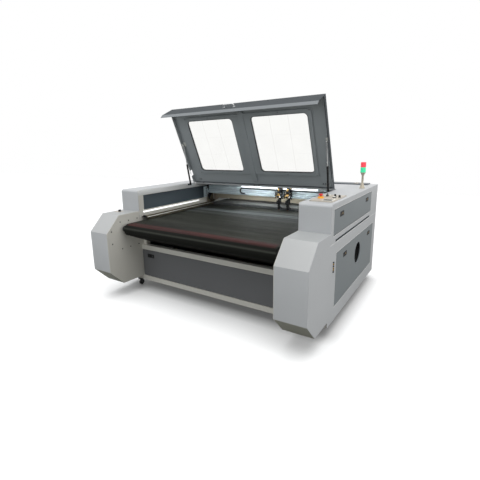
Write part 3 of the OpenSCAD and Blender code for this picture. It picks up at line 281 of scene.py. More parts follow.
# Each look: its way of making and what that takes
LOOK_ROWS = {
    paint: {
        # Some rows paint light: the ear rows are shaded copies of the grey paint, the rim row is a painted highlight,
        # the trim row also paints highlights and the recess row also paints shade
        "grey_paint": ((178, 180, 182),), "ear_top_paint": ((156, 158, 158),), "ear_bevel_paint": ((170, 171, 171),),
        "ear_under_paint": ((150, 150, 139),), "trim_paint": ((212, 213, 212),),
        "frame_paint": ((200, 198, 190), 0.5), "door_paint": ((117, 123, 126),), "lid_paint": ((162, 168, 171), 0.45),
        "rim_paint": ((126, 130, 133), 0.5), "liner_paint": ((156, 162, 165), 0.5),
        "front_paint": ((98, 99, 101), 0.5), "top_paint": ((184, 185, 187),), "rear_paint": ((188, 178, 158), 0.35),
        "hood_paint": ((84, 86, 85), 0.4), "recess_paint": ((74, 84, 91), 0.4), "cover_paint": ((84, 90, 96), 0.4),
        "case_paint": ((160, 165, 168), 0.5),
    },
    metal: {
        "ledge_metal": ((122, 115, 100), 0.42), "bed_metal": ((120, 123, 123), 0.45), "steel": ((176, 180, 182), 0.3),
        "zinc": ((150, 154, 156), 0.4), "brass": ((174, 144, 90), 0.3), "bronze": ((176, 154, 118), 0.38),
        "copper": ((120, 74, 58), 0.4), "chrome": ((236, 237, 238), 0.2, 0.02, 0.7),
        "beam_alu": ((192, 206, 211), 0.36, 0.06, 0.45), "plate_alu": ((196, 208, 212), 0.35, 0.06, 0.4),
    },
    plastic: {
        "panel_plate": ((178, 171, 159), 0.45), "brush_grey": ((118, 120, 116), 0.6),
        "bracket_black": ((58, 60, 62), 0.4, 0.1), "strut_black": ((26, 27, 28), 0.25, 0.05),
        "dark_plastic": ((32, 33, 34), 0.45), "bearing_black": ((38, 40, 42), 0.4),
        "roller_rubber": ((46, 47, 47), 0.55), "wheel_rubber": ((30, 30, 32), 0.55),
        "red_plastic": ((206, 38, 34), 0.3, 0.05), "yellow_plastic": ((240, 168, 44), 0.35, 0.05),
        "white_plastic": ((222, 222, 216), 0.4, 0.05), "pole_beige": ((184, 175, 158), 0.4, 0.05),
        "clip_beige": ((146, 139, 127), 0.45, 0.05), "window_seal": ((48, 51, 53), 0.6),
        "groove_grey": ((120, 132, 136), 0.4, 0.05),
    },
    lit: {
        "light_diffuser": (WHITE, 1.0), "work_light": (COOL, 12.0), "cover_light": (COOL, 40.0),
        "beam_light": (COOL, 1.0), "lamp_red": (linear(235, 70, 84), 0.5), "lamp_green": (linear(70, 215, 160), 0.45),
    },
}
M = {name: make(name, *row) for make, rows in LOOK_ROWS.items() for name, row in rows.items()}
M["flange_paint"] = paint("flange_paint", (70, 74, 77), 0.65, Specular_IOR_Level=0.15)
M["black_metal"] = plastic("black_metal", (20, 21, 22), 0.45, 0.1, Specular_IOR_Level=0.3)
M["seam_strip"] = woven("seam_strip", 0.2, Dark=(40, 22, 21), Light=(92, 54, 50), Sheen=(92, 54, 50))
M["belt_mesh"] = woven("belt_mesh", 0.12)
M["window_clear"] = material("window_clear", FILM, {}, IOR=1.1, Transmission_Weight=1.0)
GLASS = {"Tint": linear(214, 232, 238), "Gloss": 0.08}
M["tube_glass"] = material("tube_glass", MOULDED, GLASS, 0.02, 0.0002, Transmission_Weight=0.6, IOR=1.3)


# Building helpers
BMVert, BMEdge, BMFace = bmesh.types.BMVert, bmesh.types.BMEdge, bmesh.types.BMFace
SMOOTH_BELOW, SCREW_SMOOTH_BELOW, ROUND_ABOVE = math.radians(32), math.radians(50), math.radians(30)
STRIP_SMOOTH_BELOW, FLAT_SMOOTH_BELOW = math.radians(40), math.radians(13)
NO_ANGLE, WELD, FINE_WELD = 4.0, 2e-5, 1e-6
NODE_BODY = {name: obj.parent.name.split(":", 1)[1] for name, obj in frame["nodes"].items()}
NODE_SLOT = {part["node"]: part["material_slot"] for part in frame["record"]["subparts"]}


def only(kind, geom):
    return [g for g in geom if isinstance(g, kind)]


def soften(bm, limit):
    for f in bm.faces:
        f.smooth = True
    for e in bm.edges:
        e.smooth = len(e.link_faces) == 2 and e.calc_face_angle(NO_ANGLE) < limit


def placed(name, bm, body, looks, replaces=(), limit=SMOOTH_BELOW):
    bmesh.ops.recalc_face_normals(bm, faces=bm.faces[:])
    if limit:
        soften(bm, limit)
    mesh = bpy.data.meshes.new(name)
    bm.to_mesh(mesh)
    bm.free()
    for look in looks:
        mesh.materials.append(M[look])
    obj = bpy.data.objects.new(name, mesh)
    scene.collection.objects.link(obj)
    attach(obj, body)
    if replaces:
        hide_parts(*replaces)
    return obj


def bevel(bm, edges, width, segments):
    made = bmesh.ops.bevel(
        bm, geom=edges, offset=width, offset_type="OFFSET", affect="EDGES", segments=segments,
        profile=0.5, material=-1, clamp_overlap=True, loop_slide=False)
    return set(made["faces"])


# A CAD piece's own mesh with its sharp edges rounded; it takes the piece's place
def dressed(node, look, width):
    bm = bmesh.new()
    bm.from_mesh(frame["nodes"][node].data)
    bmesh.ops.remove_doubles(bm, verts=bm.verts[:], dist=WELD)
    bmesh.ops.recalc_face_normals(bm, faces=bm.faces[:])
    edges = [e for e in bm.edges if len(e.link_faces) == 2 and e.calc_face_angle(0.0) > ROUND_ABOVE]
    strips = bevel(bm, edges, width, 3) if edges else set()
    for f in bm.faces:
        f.smooth = True
    for e in bm.edges:
        turn = e.calc_face_angle(NO_ANGLE) if len(e.link_faces) == 2 else NO_ANGLE
        both = all(f in strips for f in e.link_faces)
        e.smooth = turn < (STRIP_SMOOTH_BELOW if both else FLAT_SMOOTH_BELOW)
    return placed(node + "_skin", bm, NODE_BODY[node], [look], [node], 0)


# A turned piece: profile of (radius, height along the axis)
def lathe(bm, profile, centre, axis, steps, index=0):
    axis, centre = axis.normalized(), Vector(centre)
    out = axis.cross(Z if abs(axis.z) < 0.9 else X).normalized()
    before = set(bm.faces)
    verts = [bm.verts.new(centre + out * r + axis * h) for r, h in profile]
    edges = [bm.edges.new(pair) for pair in zip(verts, verts[1:])]
    bmesh.ops.spin(
        bm, geom=verts + edges, cent=centre, axis=axis, dvec=(0, 0, 0), angle=2 * math.pi,
        steps=steps, use_merge=True, use_duplicate=False)
    fresh = [v for v in bm.verts if not v.link_faces or any(f not in before for f in v.link_faces)]
    bmesh.ops.remove_doubles(bm, verts=fresh, dist=FINE_WELD)
    for f in bm.faces:
        if f not in before:
            f.material_index = index


def outline_plate(bm, points, lift, index=0):
    face = bm.faces.new([bm.verts.new(p) for p in points])
    face.material_index = index
    made = bmesh.ops.extrude_face_region(bm, geom=[face], use_keep_orig=True)["geom"]
    bmesh.ops.translate(bm, vec=lift, verts=only(BMVert, made))
    for f in only(BMFace, made):
        f.material_index = index


def on_circle(a, b, r, angle):
    return a + r * math.cos(angle), b + r * math.sin(angle)


def corner_points(x0, x1, y0, y1, r, steps=5):
    corners = ((x1 - r, y1 - r, 0), (x0 + r, y1 - r, 90), (x0 + r, y0 + r, 180), (x1 - r, y0 + r, 270))
    return [on_circle(a, b, r, math.radians(t + 90 * i / steps)) for a, b, t in corners for i in range(steps + 1)]


def block(bm, lo, hi, width, index=0):
    lo, hi = Vector(lo), Vector(hi)
    size = hi - lo
    shape = Matrix.Translation((lo + hi) / 2) @ Matrix.Diagonal(size.to_4d())
    verts = bmesh.ops.create_cube(bm, size=1.0, matrix=shape)["verts"]
    edges = list({e for v in verts for e in v.link_edges})
    faces = bevel(bm, edges, min(width, min(size) * 0.4), 2)
    for f in faces | {f for v in verts if v.is_valid for f in v.link_faces}:
        f.material_index = index


# The same block on both sides, given as it lies on the right
def block_pair(bm, lo, hi, width, index=0):
    for side in SIDES:
        a, b = sorted((side * lo[0], side * hi[0]))
        block(bm, (a, *lo[1:]), (b, *hi[1:]), width, index)


# A flat ring between two rounded boxes, drawn with a function that turns (a, b, height) into a place
def flat_ring(bm, place, outer, inner, low, high, steps=5):
    levels = ((outer, low), (outer, high), (inner, high), (inner, low))
    rings = [[bm.verts.new(place(a, b, h)) for a, b in corner_points(*box, steps)] for box, h in levels]
    for one, two in zip(rings, rings[1:] + rings[:1]):
        for k in range(len(one)):
            bm.faces.new((one[k - 1], one[k], two[k], two[k - 1]))


def screw(bm, centre, axis, r, index=0):
    h = r * 0.55
    profile = [(r, 0), (r, h * 0.35), (r * 0.82, h * 0.85), (r * 0.5, h), (r * 0.42, h * 0.5), (0, h * 0.42)]
    lathe(bm, profile, centre, axis, 10, index)


# Screws as one piece, from rows of (place, axis, radius)
def screws(name, body, rows, look="zinc"):
    bm = bmesh.new()
    for row in rows:
        screw(bm, *row)
    placed(name, bm, body, [look], limit=SCREW_SMOOTH_BELOW)


# The CAD pieces with rounded edges: look, width of the rounding in metres, pieces
LOOKS = [
    ("frame_paint", 0.0025, "base_frame"), ("grey_paint", 0.0007, "left_side_panel right_side_panel"),
    ("grey_paint", 0.0008, "ear_wraps"), ("frame_paint", 0.001, "ear_plates"),
    ("grey_paint", 0.0007, "left_upper_cover right_upper_cover"), ("frame_paint", 0.0006, "inner_walls"),
    ("recess_paint", 0.0008, "recess_panels"), ("ledge_metal", 0.0008, "edge_ledges"),
    ("rear_paint", 0.0007, "rear_wall"), ("top_paint", 0.0006, "top_cover"), ("grey_paint", 0.0007, "rear_panel"),
    ("door_paint", 0.001, "left_cover_plates"), ("bed_metal", 0.001, "belt_bed"),
    ("bearing_black", 0.002, "roller_bearings"), ("tube_glass", 0.002, "laser_tubes"),
    ("dark_plastic", 0.004, "exhaust_blower"), ("case_paint", 0.003, "power_supply"),
    ("black_metal", 0.003, "feed_motor"), ("panel_plate", 0.0012, "control_panel"),
    ("bracket_black", 0.0008, "hinge_brackets"), ("cover_paint", 0.0009, "tube_cover"),
    ("door_paint", 0.0008, "right_upper_door right_lower_door"), ("front_paint", 0.0008, "front_door"),
    ("black_metal", 0.0012, "upper_latches lower_latches front_latches"), ("lid_paint", 0.0007, "lid_shell"),
    ("liner_paint", 0.003, "lid_liner"), ("strut_black", 0.0008, "left_strut_cylinder right_strut_cylinder"),
    ("chrome", 0.0006, "left_strut_rod right_strut_rod"), ("beam_alu", 0.0015, "gantry_beam"),
    ("black_metal", 0.0015, "gantry_ends"), ("dark_plastic", 0.0008, "cable_chain"),
    ("black_metal", 0.0012, "left_head right_head"), ("black_metal", 0.0008, "left_lens_tube right_lens_tube"),
    ("roller_rubber", 0.002, "front_roller rear_roller tension_roller"), ("bracket_black", 0.0008, "key_switch"),
    ("zinc", 0.0008, "left_caster_fork right_caster_fork"),
]
SKINS = {node: dressed(node, look, width) for look, width, nodes in LOOKS for node in nodes.split()}


# Belt
BELT_X, BELT_T = 0.834, 0.002
BELT_ROLLS = [((-0.780, 0.712), 0.058), ((-0.100, 0.390), 0.040), ((0.860, 0.712), 0.058)]


def belt_path(lift):
    steps = 28

    def leave(i):
        (ay, az), ra = BELT_ROLLS[i]
        (by, bz), rb = BELT_ROLLS[(i + 1) % 3]
        return math.atan2(bz - az, by - ay) - math.acos((ra - rb) / math.hypot(by - ay, bz - az))

    points = []
    for i, ((cy, cz), r) in enumerate(BELT_ROLLS):
        a0, a1 = leave((i + 2) % 3), leave(i)
        a1 += 2 * math.pi if a1 < a0 else 0
        points += [on_circle(cy, cz, r + lift, a0 + (a1 - a0) * k / steps) for k in range(steps + 1)]
    return points


# A band along a path of (y, z); its UV holds the place across and the length run along
def belt_strip(bm, path, half, closed):
    uv = bm.loops.layers.uv.verify()
    run = [0.0]
    ring = path + path[:1] if closed else path
    for (y0, z0), (y1, z1) in zip(ring, ring[1:]):
        run.append(run[-1] + math.hypot(y1 - y0, z1 - z0))
    verts = [bm.verts.new((-half, y, z)) for y, z in path]
    after = verts[1:] + (verts[:1] if closed else [])
    made = bmesh.ops.extrude_edge_only(bm, edges=[bm.edges.new(pair) for pair in zip(verts, after)])["geom"]
    bmesh.ops.translate(bm, vec=(2 * half, 0, 0), verts=only(BMVert, made))
    order = {(v.co.y, v.co.z): k for k, v in enumerate(verts)}
    for f in only(BMFace, made):
        spots = [order[(l.vert.co.y, l.vert.co.z)] for l in f.loops]
        last = closed and max(spots) - min(spots) > 1
        for l, k in zip(f.loops, spots):
            l[uv].uv = (l.vert.co.x, run[-1] if last and k == 0 else run[k])
    return only(BMFace, made)


def conveyor_belt():
    bm = bmesh.new()
    belt_strip(bm, belt_path(BELT_T), BELT_X, True)
    inner = belt_strip(bm, belt_path(0.0), BELT_X, True)
    bmesh.ops.reverse_faces(bm, faces=inner)
    rims = [e for e in bm.edges if len(e.link_faces) == 1]
    for x in (-BELT_X, BELT_X):
        edge = [e for e in rims if e.is_valid and all(abs(v.co.x - x) < 1e-5 for v in e.verts)]
        bmesh.ops.bridge_loops(bm, edges=edge)
    placed("belt_loop", bm, "frame", ["belt_mesh"], ["belt"])


def belt_seam():
    lift, wrap, steps, back_y, margin, thick = BELT_T + 0.0004, 33, 10, -0.728, 0.020, 0.0007
    bm = bmesh.new()
    (cy, cz), r = BELT_ROLLS[0]
    roll = [on_circle(cy, cz, r + lift, math.radians(90 + wrap - wrap * k / steps)) for k in range(steps + 1)]
    roll.append((back_y, cz + r + lift))
    belt_strip(bm, roll, BELT_X - margin, False)
    faces = bm.faces[:]
    bmesh.ops.recalc_face_normals(bm, faces=faces)
    bmesh.ops.solidify(bm, geom=faces, thickness=thick)
    placed("belt_seam_strip", bm, "frame", ["seam_strip"])


conveyor_belt()
belt_seam()


# Lid: its frame of reference, open as in the photo
LID_Y, LID_Z, OPEN = 0.361, 1.085, math.radians(66)


def lid_point(x, s, n):
    cos, sin = math.cos(OPEN), math.sin(OPEN)
    return Vector((x, LID_Y - s * cos - n * sin, LID_Z + s * sin - n * cos))


LID_OUT = lid_point(0, 0, 1) - lid_point(0, 0, 0)
LID_ALONG = lid_point(0, 1, 0) - lid_point(0, 0, 0)


# Thin plates with rounded corners: one lies level, one on the lid's inner side
def top_plate(bm, box, r, z, thick, index=0, steps=5):
    outline_plate(bm, [(a, b, z) for a, b in corner_points(*box, r, steps)], Z * thick, index)


def lid_plate(bm, box, r, n, thick, index=0, steps=3):
    outline_plate(bm, [lid_point(x, s, n) for x, s in corner_points(*box, r, steps)], LID_OUT * thick, index)


# Paint that differs on some faces of a skin: the lid's flange paint, and on its rim a lighter painted highlight for a
# lit bevel
def flange_tone():
    flange, rim, rim_depth = 1, 2, 0.1722
    mesh = SKINS["lid_shell"].data
    mesh.materials.append(M["flange_paint"])
    mesh.materials.append(M["rim_paint"])
    for face in mesh.polygons:
        depth = (face.center - lid_point(0, 0, 0)).dot(LID_OUT)
        if depth > rim_depth and face.normal.dot(LID_ALONG) > 0.2:
            face.material_index = rim
        elif face.normal.z > 0.2 or face.normal.x * face.center.x > 0.6:
            face.material_index = flange


flange_tone()


def part_tone(node, look, test):
    mesh = SKINS[node].data
    mesh.materials.append(M[look])
    for face in mesh.polygons:
        if test(face.center, face.normal):
            face.material_index = len(mesh.materials) - 1


part_tone("rear_wall", "hood_paint", lambda c, n: 0.605 < c.y < 0.7595 and c.z < 0.845)
part_tone("gantry_ends", "ledge_metal", lambda c, n: c.y < 0.690 and c.z < 0.915)
# Painted shade on the ear wraps: darker copies of the grey paint on the top and upper bevel, and on the underside a
# darker, warmer copy for shade and the floor's reflection
part_tone("ear_wraps", "ear_top_paint", lambda c, n: n.z > 0.95)
part_tone("ear_wraps", "ear_bevel_paint", lambda c, n: 0.3 < n.z < 0.9)
part_tone("ear_wraps", "ear_under_paint", lambda c, n: n.z < -0.3)


# Windows with their seals
def window_panes():
    bm = bmesh.new()
    uv = bm.loops.layers.uv.verify()
    for side in SIDES:
        ring = corner_points(0.095, 0.715, 0.160, 0.790, 0.040)
        outline_plate(bm, [lid_point(side * x, s, 0.002) for x, s in ring], LID_OUT * 0.003)
    for f in bm.faces:
        for l in f.loops:
            s = (l.vert.co - lid_point(0, 0, 0)).dot(LID_ALONG)
            l[uv].uv = ((abs(l.vert.co.x) - 0.110) / 0.590, (s - 0.175) / 0.600)
    placed("lid_panes", bm, "lid", ["window_clear"], ["lid_windows"])


def window_seals():
    bm = bmesh.new()
    outer, inner = (0.1085, 0.7015, 0.1735, 0.7765, 0.0415), (0.1125, 0.6975, 0.1775, 0.7725, 0.0375)
    for side in SIDES:
        for low, high in ((-0.0008, 0.0022), (0.0048, 0.0185)):
            flat_ring(bm, lambda x, s, n: lid_point(side * x, s, n), outer, inner, low, high)
    placed("window_seals", bm, "lid", ["window_seal"])


window_panes()
window_seals()


# Lid handle: one bent bar with a foot at each end
def bent_handle():
    bm = bmesh.new()
    half, reach, r, bend = 0.058, 0.028, 0.0062, 0.014
    n, s, shift = 0.112, 0.918, -0.039
    out = LID_ALONG
    start = lid_point(shift - half, s, n)
    across = Matrix.Translation(start) @ out.to_track_quat("Z", "X").to_matrix().to_4x4()
    ring = bmesh.ops.create_circle(bm, cap_ends=False, segments=14, radius=r, matrix=across)
    edges = list({e for v in ring["verts"] for e in v.link_edges})

    def push(edges, vec):
        made = bmesh.ops.extrude_edge_only(bm, edges=edges)["geom"]
        bmesh.ops.translate(bm, vec=vec, verts=only(BMVert, made))
        return [e for e in only(BMEdge, made) if len(e.link_faces) == 1]

    def turn(edges, cent, axis):
        verts = list({v for e in edges for v in e.verts})
        made = bmesh.ops.spin(
            bm, geom=verts + edges, cent=cent, axis=axis, dvec=(0, 0, 0), angle=math.pi / 2, steps=6)
        return only(BMEdge, made["geom_last"])

    axis = out.cross(X).normalized()
    edges = push(edges, out * (reach - bend))
    edges = turn(edges, start + out * (reach - bend) + X * bend, axis)
    edges = push(edges, X * (2 * half - 2 * bend))
    edges = turn(edges, start + out * (reach - bend) + X * (2 * half - bend), axis)
    edges = push(edges, -out * (reach - bend))
    bmesh.ops.remove_doubles(bm, verts=bm.verts[:], dist=FINE_WELD)
    for x in (shift - half, shift + half):
        lathe(bm, [(0.0115, 0.0), (0.0115, 0.0022), (0.0095, 0.0032), (0.0066, 0.0036)], lid_point(x, s, n), out, 20)
    placed("lid_handle_bar", bm, "lid", ["chrome"], ["lid_handle"])


bent_handle()


# Signal pole with its two lamps
def signal_tower():
    at, grooves, pitch = (1.089, 0.550, 0), 6, 0.0073
    bm = bmesh.new()
    pole = [
        (0, 1.078), (0.026, 1.078), (0.026, 1.083), (0.023, 1.088), (0.016, 1.112), (0.013, 1.126), (0.0105, 1.130),
        (0.010, 1.134), (0.010, 1.200), (0.0125, 1.206), (0.0135, 1.210), (0.0195, 1.224), (0.0245, 1.230),
        (0.0248, 1.234), (0, 1.234)]
    lathe(bm, pole, at, Z, 32)
    placed("signal_pole_turned", bm, "frame", ["pole_beige"], ["signal_pole"])
    bm = bmesh.new()
    joint, dome = [(0.0235, 0.0485), (0.0235, 0.050)], [(0.0245, 0.0475), (0.021, 0.0495), (0, 0.050)]
    for k, (z0, end) in enumerate(((1.234, joint), (1.284, dome))):
        rim = [(0, z0), (0.0235, z0)]
        for i in range(grooves):
            z = z0 + 0.003 + i * pitch
            rim += [(0.0250, z), (0.0250, z + 0.0048), (0.0243, z + 0.0055), (0.0243, z + 0.0066)]
        lathe(bm, rim + [(r, z0 + h) for r, h in end], at, Z, 28, k)
    placed("signal_lamp_lenses", bm, "frame", ["lamp_green", "lamp_red"], ["signal_lamps"])


signal_tower()


# Stop button, its collar and the fixed fittings on the control plate
def control_fittings():
    stop, plate_z = (0.973, -0.318, 0), 1.0838
    bm = bmesh.new()
    mushroom = [
        (0, 1.094), (0.0078, 1.094), (0.0078, 1.1060), (0.0105, 1.1064), (0.0165, 1.1070), (0.0182, 1.1088),
        (0.0182, 1.112), (0.0165, 1.1165), (0.011, 1.1193), (0, 1.120)]
    lathe(bm, mushroom, stop, Z, 28)
    placed("stop_mushroom", bm, "stop", ["red_plastic"], ["stop_button"])
    bm = bmesh.new()
    collar = [
        (0.0202, 1.0842), (0.026, 1.0842), (0.0262, 1.0865), (0.0222, 1.090), (0.0214, 1.097), (0.0206, 1.0988),
        (0.0140, 1.0988), (0.0140, 1.0982)]
    lathe(bm, collar, stop, Z, 28)
    placed("stop_collar_ring", bm, "frame", ["yellow_plastic"])
    bm = bmesh.new()
    button = (1.063, -0.255, 0)
    lathe(bm, [(0.0145, plate_z), (0.0145, 1.088), (0.012, 1.0895), (0.0108, 1.0895)], button, Z, 22)
    lathe(bm, [(0.0107, 1.087), (0.0107, 1.0935), (0.009, 1.0955), (0, 1.0962)], button, Z, 22, 1)
    for x, y, reach in ((1.052, -0.195, 0.016), (1.096, -0.222, 0.014)):
        lever = [(0.011, plate_z), (0.011, 1.0865), (0.0085, 1.088), (0.0085, 1.088 + reach)]
        lathe(bm, lever + [(0.0065, 1.090 + reach), (0, 1.090 + reach)], (x, y, 0), Z, 20, 2)
    for x, y in ((0.955, -0.150), (0.985, -0.120)):
        lathe(bm, [(0.008, plate_z), (0.008, 1.0862), (0.006, 1.0878), (0, 1.0880)], (x, y, 0), Z, 18, 1)
    placed("panel_fittings", bm, "frame", ["dark_plastic", "white_plastic", "dark_plastic"])
    bm = bmesh.new()
    key_z, key, columns, rows = 1.0852, 0.012, 4, 2
    top_plate(bm, (1.020, 1.100, -0.440, -0.330), 0.006, plate_z, 0.0016)
    top_plate(bm, (1.027, 1.093, -0.433, -0.380), 0.003, key_z, 0.0006, 1)
    for i in range(columns):
        for j in range(rows):
            x, y = 1.030 + i * 0.0165, -0.370 + j * 0.017
            top_plate(bm, (x, x + key, y, y + key), 0.002, key_z, 0.0014, 2, 3)
    placed("keypad_plate", bm, "frame", ["white_plastic", "dark_plastic", "panel_plate"])
    fixings = [((x, y, 1.084), Z, 0.0042) for x in (0.940, 1.108) for y in (-0.464, -0.085)]
    screws("panel_screws", "frame", fixings)


control_fittings()


# Running gear
def caster_wheels():
    half = [
        (0.0041, 0.0095), (0.0065, 0.011), (0.0105, 0.011), (0.0115, 0.0085), (0.0175, 0.0085), (0.0188, 0.0108),
        (0.0265, 0.011), (0.0302, 0.0085), (0.031, 0.004)]
    profile = [(r, -h) for r, h in half] + half[::-1]
    x, z, front, rear = 1.0, 0.033, -0.525, 0.951
    for name, body, node, places in (
        ("left_caster_tyre", "left_wheel", "left_caster_wheel", [(-x, front, z)]),
        ("right_caster_tyre", "right_wheel", "right_caster_wheel", [(x, front, z)]),
        ("rear_caster_tyres", "back_wheels", "rear_wheels", [(-x, rear, z), (x, rear, z)]),
    ):
        bm = bmesh.new()
        for p in places:
            lathe(bm, profile, p, X, 36)
        placed(name, bm, body, ["wheel_rubber"], [node])


def levelling_pads():
    pad = [
        (0, 0), (0.030, 0), (0.030, 0.004), (0.028, 0.0045), (0.028, 0.006), (0.026, 0.009), (0.014, 0.0135),
        (0.0095, 0.014)]
    nut = [(0.008, 0.086), (0.0135, 0.086), (0.0145, 0.088), (0.0145, 0.097), (0.0135, 0.0995), (0.008, 0.0995)]
    bm = bmesh.new()
    for x in (-0.871, 0.871):
        for y in (-0.325, 0.848):
            lathe(bm, pad, (x, y, 0), Z, 28)
            lathe(bm, [(0.008, 0.014), (0.008, 0.100)], (x, y, 0), Z, 16, 1)
            lathe(bm, nut, (x, y, 0), Z, 6, 1)
    placed("levelling_pads", bm, "frame", ["dark_plastic", "zinc"], ["levelling_feet"])


caster_wheels()
levelling_pads()


# Feed knob on the left drive housing
def knob_and_plate():
    x, y, z, thick = -1.070, -0.687, 0.860, 0.0008
    bm = bmesh.new()
    grip = [
        (0, 0.0003), (0.017, 0.0003), (0.017, 0.0022), (0.0155, 0.0033), (0.0142, 0.0036), (0.0135, 0.019),
        (0.0122, 0.0203), (0, 0.0203)]
    lathe(bm, grip, (x, y, z), Z, 32)
    block(bm, (x - 0.0016, y - 0.0155, z + 0.0033), (x + 0.0016, y + 0.0135, z + 0.0218), 0.0006)
    placed("feed_knob_grip", bm, "knob", ["dark_plastic"], ["feed_knob"])
    bm = bmesh.new()
    ring = corner_points(x - 0.050, x + 0.034, y - 0.034, y + 0.034, 0.005)
    steps, hole_r = 24, 0.019
    hole = [on_circle(x, y, hole_r, 2 * math.pi * k / steps) for k in range(steps)]
    edges = []
    for loop in (ring, hole):
        verts = [bm.verts.new((px, py, z + thick)) for px, py in loop]
        edges += [bm.edges.new(pair) for pair in zip(verts, verts[1:] + verts[:1])]
    bmesh.ops.triangle_fill(bm, use_beauty=True, edges=edges)
    bmesh.ops.recalc_face_normals(bm, faces=bm.faces[:])
    bmesh.ops.solidify(bm, geom=bm.faces[:], thickness=thick)
    placed("knob_scale_plate", bm, "frame", ["panel_plate"])


knob_and_plate()


# Light bars: a channel with a bright diffuser
def light_bars():
    bm = bmesh.new()
    y0, y1, cap, inset = -0.515, 0.415, 0.012, 0.004
    block_pair(bm, (0.8845, y0 + inset, 0.8388), (0.8895, y1 - inset, 0.8512), 0.002)
    block_pair(bm, (0.8885, y0, 0.838), (0.894, y1, 0.852), 0.0008, 1)
    for y in (y0, y1 - cap):
        block_pair(bm, (0.8835, y, 0.8375), (0.894, y + cap, 0.8525), 0.001, 2)
    placed("light_bar_strips", bm, "frame", ["light_diffuser", "ledge_metal", "white_plastic"], ["led_bars"])


light_bars()


# Fixings on the drive housings
def housing_screws():
    spots = [
        (-0.613, 0.793), (-0.725, 0.789), (-0.831, 0.790), (-0.943, 0.711), (-0.943, 0.587), (-0.829, 0.513),
        (-0.724, 0.514), (-0.613, 0.515)]
    for side, name in ((-1, "left_plate_screws"), (1, "right_plate_screws")):
        rows = [((side * 0.896, y, z), X * -side, 0.0065) for y, z in spots]
        screws(name, "frame", rows, look="bracket_black")


RIGHT_X, FRONT_DOOR_Y, BACK_Y = 1.150, -0.572, 1.0


def on_right_side(a, b, h):
    return Vector((RIGHT_X + h, a, b))


def on_front_door(a, b, h):
    return Vector((a, FRONT_DOOR_Y - h, b))


# Latches: a bezel round each pocket and a lock barrel on each paddle
LATCHES = [
    ("upper", on_right_side, [(-0.3173, 0.974), (0.5229, 0.974)], "upper_door", "upper_latch", X),
    ("lower", on_right_side, [(-0.1694, 0.604), (0.6794, 0.604)], "lower_door", "lower_latch", X),
    ("front", on_front_door, [(-0.770, 0.384), (0.770, 0.384)], "front_panel", "front_latch", -Y),
]


def latch_trim():
    lock = [(0.0095, 0.0), (0.0095, 0.0008), (0.0085, 0.0014), (0.0062, 0.0014), (0.0058, 0.0006), (0, 0.0006)]
    pin = [(0.004, 0.0), (0.004, 0.0008), (0.003, 0.0012), (0, 0.0012)]
    for name, place, spots, door, latch, axis in LATCHES:
        bm = bmesh.new()
        for a, b in spots:
            outer = (a - 0.0478, a + 0.0478, b - 0.0198, b + 0.0198, 0.003)
            inner = (a - 0.0453, a + 0.0453, b - 0.0173, b + 0.0173, 0.0015)
            flat_ring(bm, place, outer, inner, -0.0004, 0.0016)
        placed(name + "_latch_bezels", bm, door, ["black_metal"])
        bm = bmesh.new()
        for a, b in spots:
            lathe(bm, lock, place(a + 0.022, b - 0.001, 0.0), axis, 18)
            lathe(bm, pin, place(a - 0.028, b - 0.001, 0.0), axis, 12)
        placed(name + "_latch_locks", bm, latch, ["bracket_black" if name == "front" else "bronze"])


def door_edges():
    low, high, steps = -0.0003, 0.0006, 3
    # Pale rings round the door openings: painted highlights on the lit frame edges
    bm = bmesh.new()
    for y0, y1, z0, z1 in ((-0.513, 0.710, 0.834, 1.030), (-0.418, 0.870, 0.224, 0.672)):
        outer = (y0 - 0.0080, y1 + 0.0080, z0 - 0.0085, z1 + 0.0080, 0.003)
        inner = (y0 - 0.0035, y1 + 0.0035, z0 - 0.0042, z1 + 0.0035, 0.002)
        flat_ring(bm, on_right_side, outer, inner, low, high, steps)
    placed("door_opening_edges", bm, "frame", ["trim_paint"])
    # Dark ring round the vent slot: painted shade that widens the slot's shadow
    bm = bmesh.new()
    outer, inner = (-0.456, 0.668, 0.7745, 0.7925, 0.004), (-0.4515, 0.6635, 0.7785, 0.7875, 0.002)
    flat_ring(bm, on_right_side, outer, inner, low, high, steps)
    placed("vent_surround", bm, "frame", ["recess_paint"])


def exhaust_rim():
    bm = bmesh.new()
    rim = [(0.0992, -0.006), (0.0992, 0.0008), (0.1005, 0.002), (0.1040, 0.002), (0.1062, 0.0004), (0.1062, -0.0002)]
    lathe(bm, rim, (RIGHT_X, 0.255624, 0.503104), X, 64)
    placed("exhaust_rim", bm, "lower_door", ["door_paint"])


def hose_sockets():
    plate, brass, dark = range(3)
    bm = bmesh.new()
    ring = corner_points(-0.504, -0.484, 0.533, 0.630, 0.003)
    outline_plate(bm, [on_right_side(a, b, -0.0003) for a, b in ring], X * 0.0018, plate)
    socket = [
        (0.0075, 0.0015), (0.0075, 0.0035), (0.0066, 0.0045), (0.0060, 0.0095), (0.0045, 0.0102), (0.0032, 0.0102),
        (0.0030, 0.004), (0, 0.004)]
    looks = (dark, brass, brass, dark, brass, dark)
    for z, look in zip((0.544, 0.559, 0.574, 0.590, 0.606, 0.621), looks):
        lathe(bm, socket, (RIGHT_X, -0.494, z), X, 14, look)
    placed("hose_sockets", bm, "frame", ["trim_paint", "brass", "bracket_black"])


# Pale strips along the seam between upper and lower covers: a painted highlight on the seam's edge
def seam_trims():
    bm = bmesh.new()
    block_pair(bm, (1.1497, -0.576, 0.7660), (1.1509, 0.999, 0.7705), 0.0005)
    placed("seam_trims", bm, "frame", ["trim_paint"])


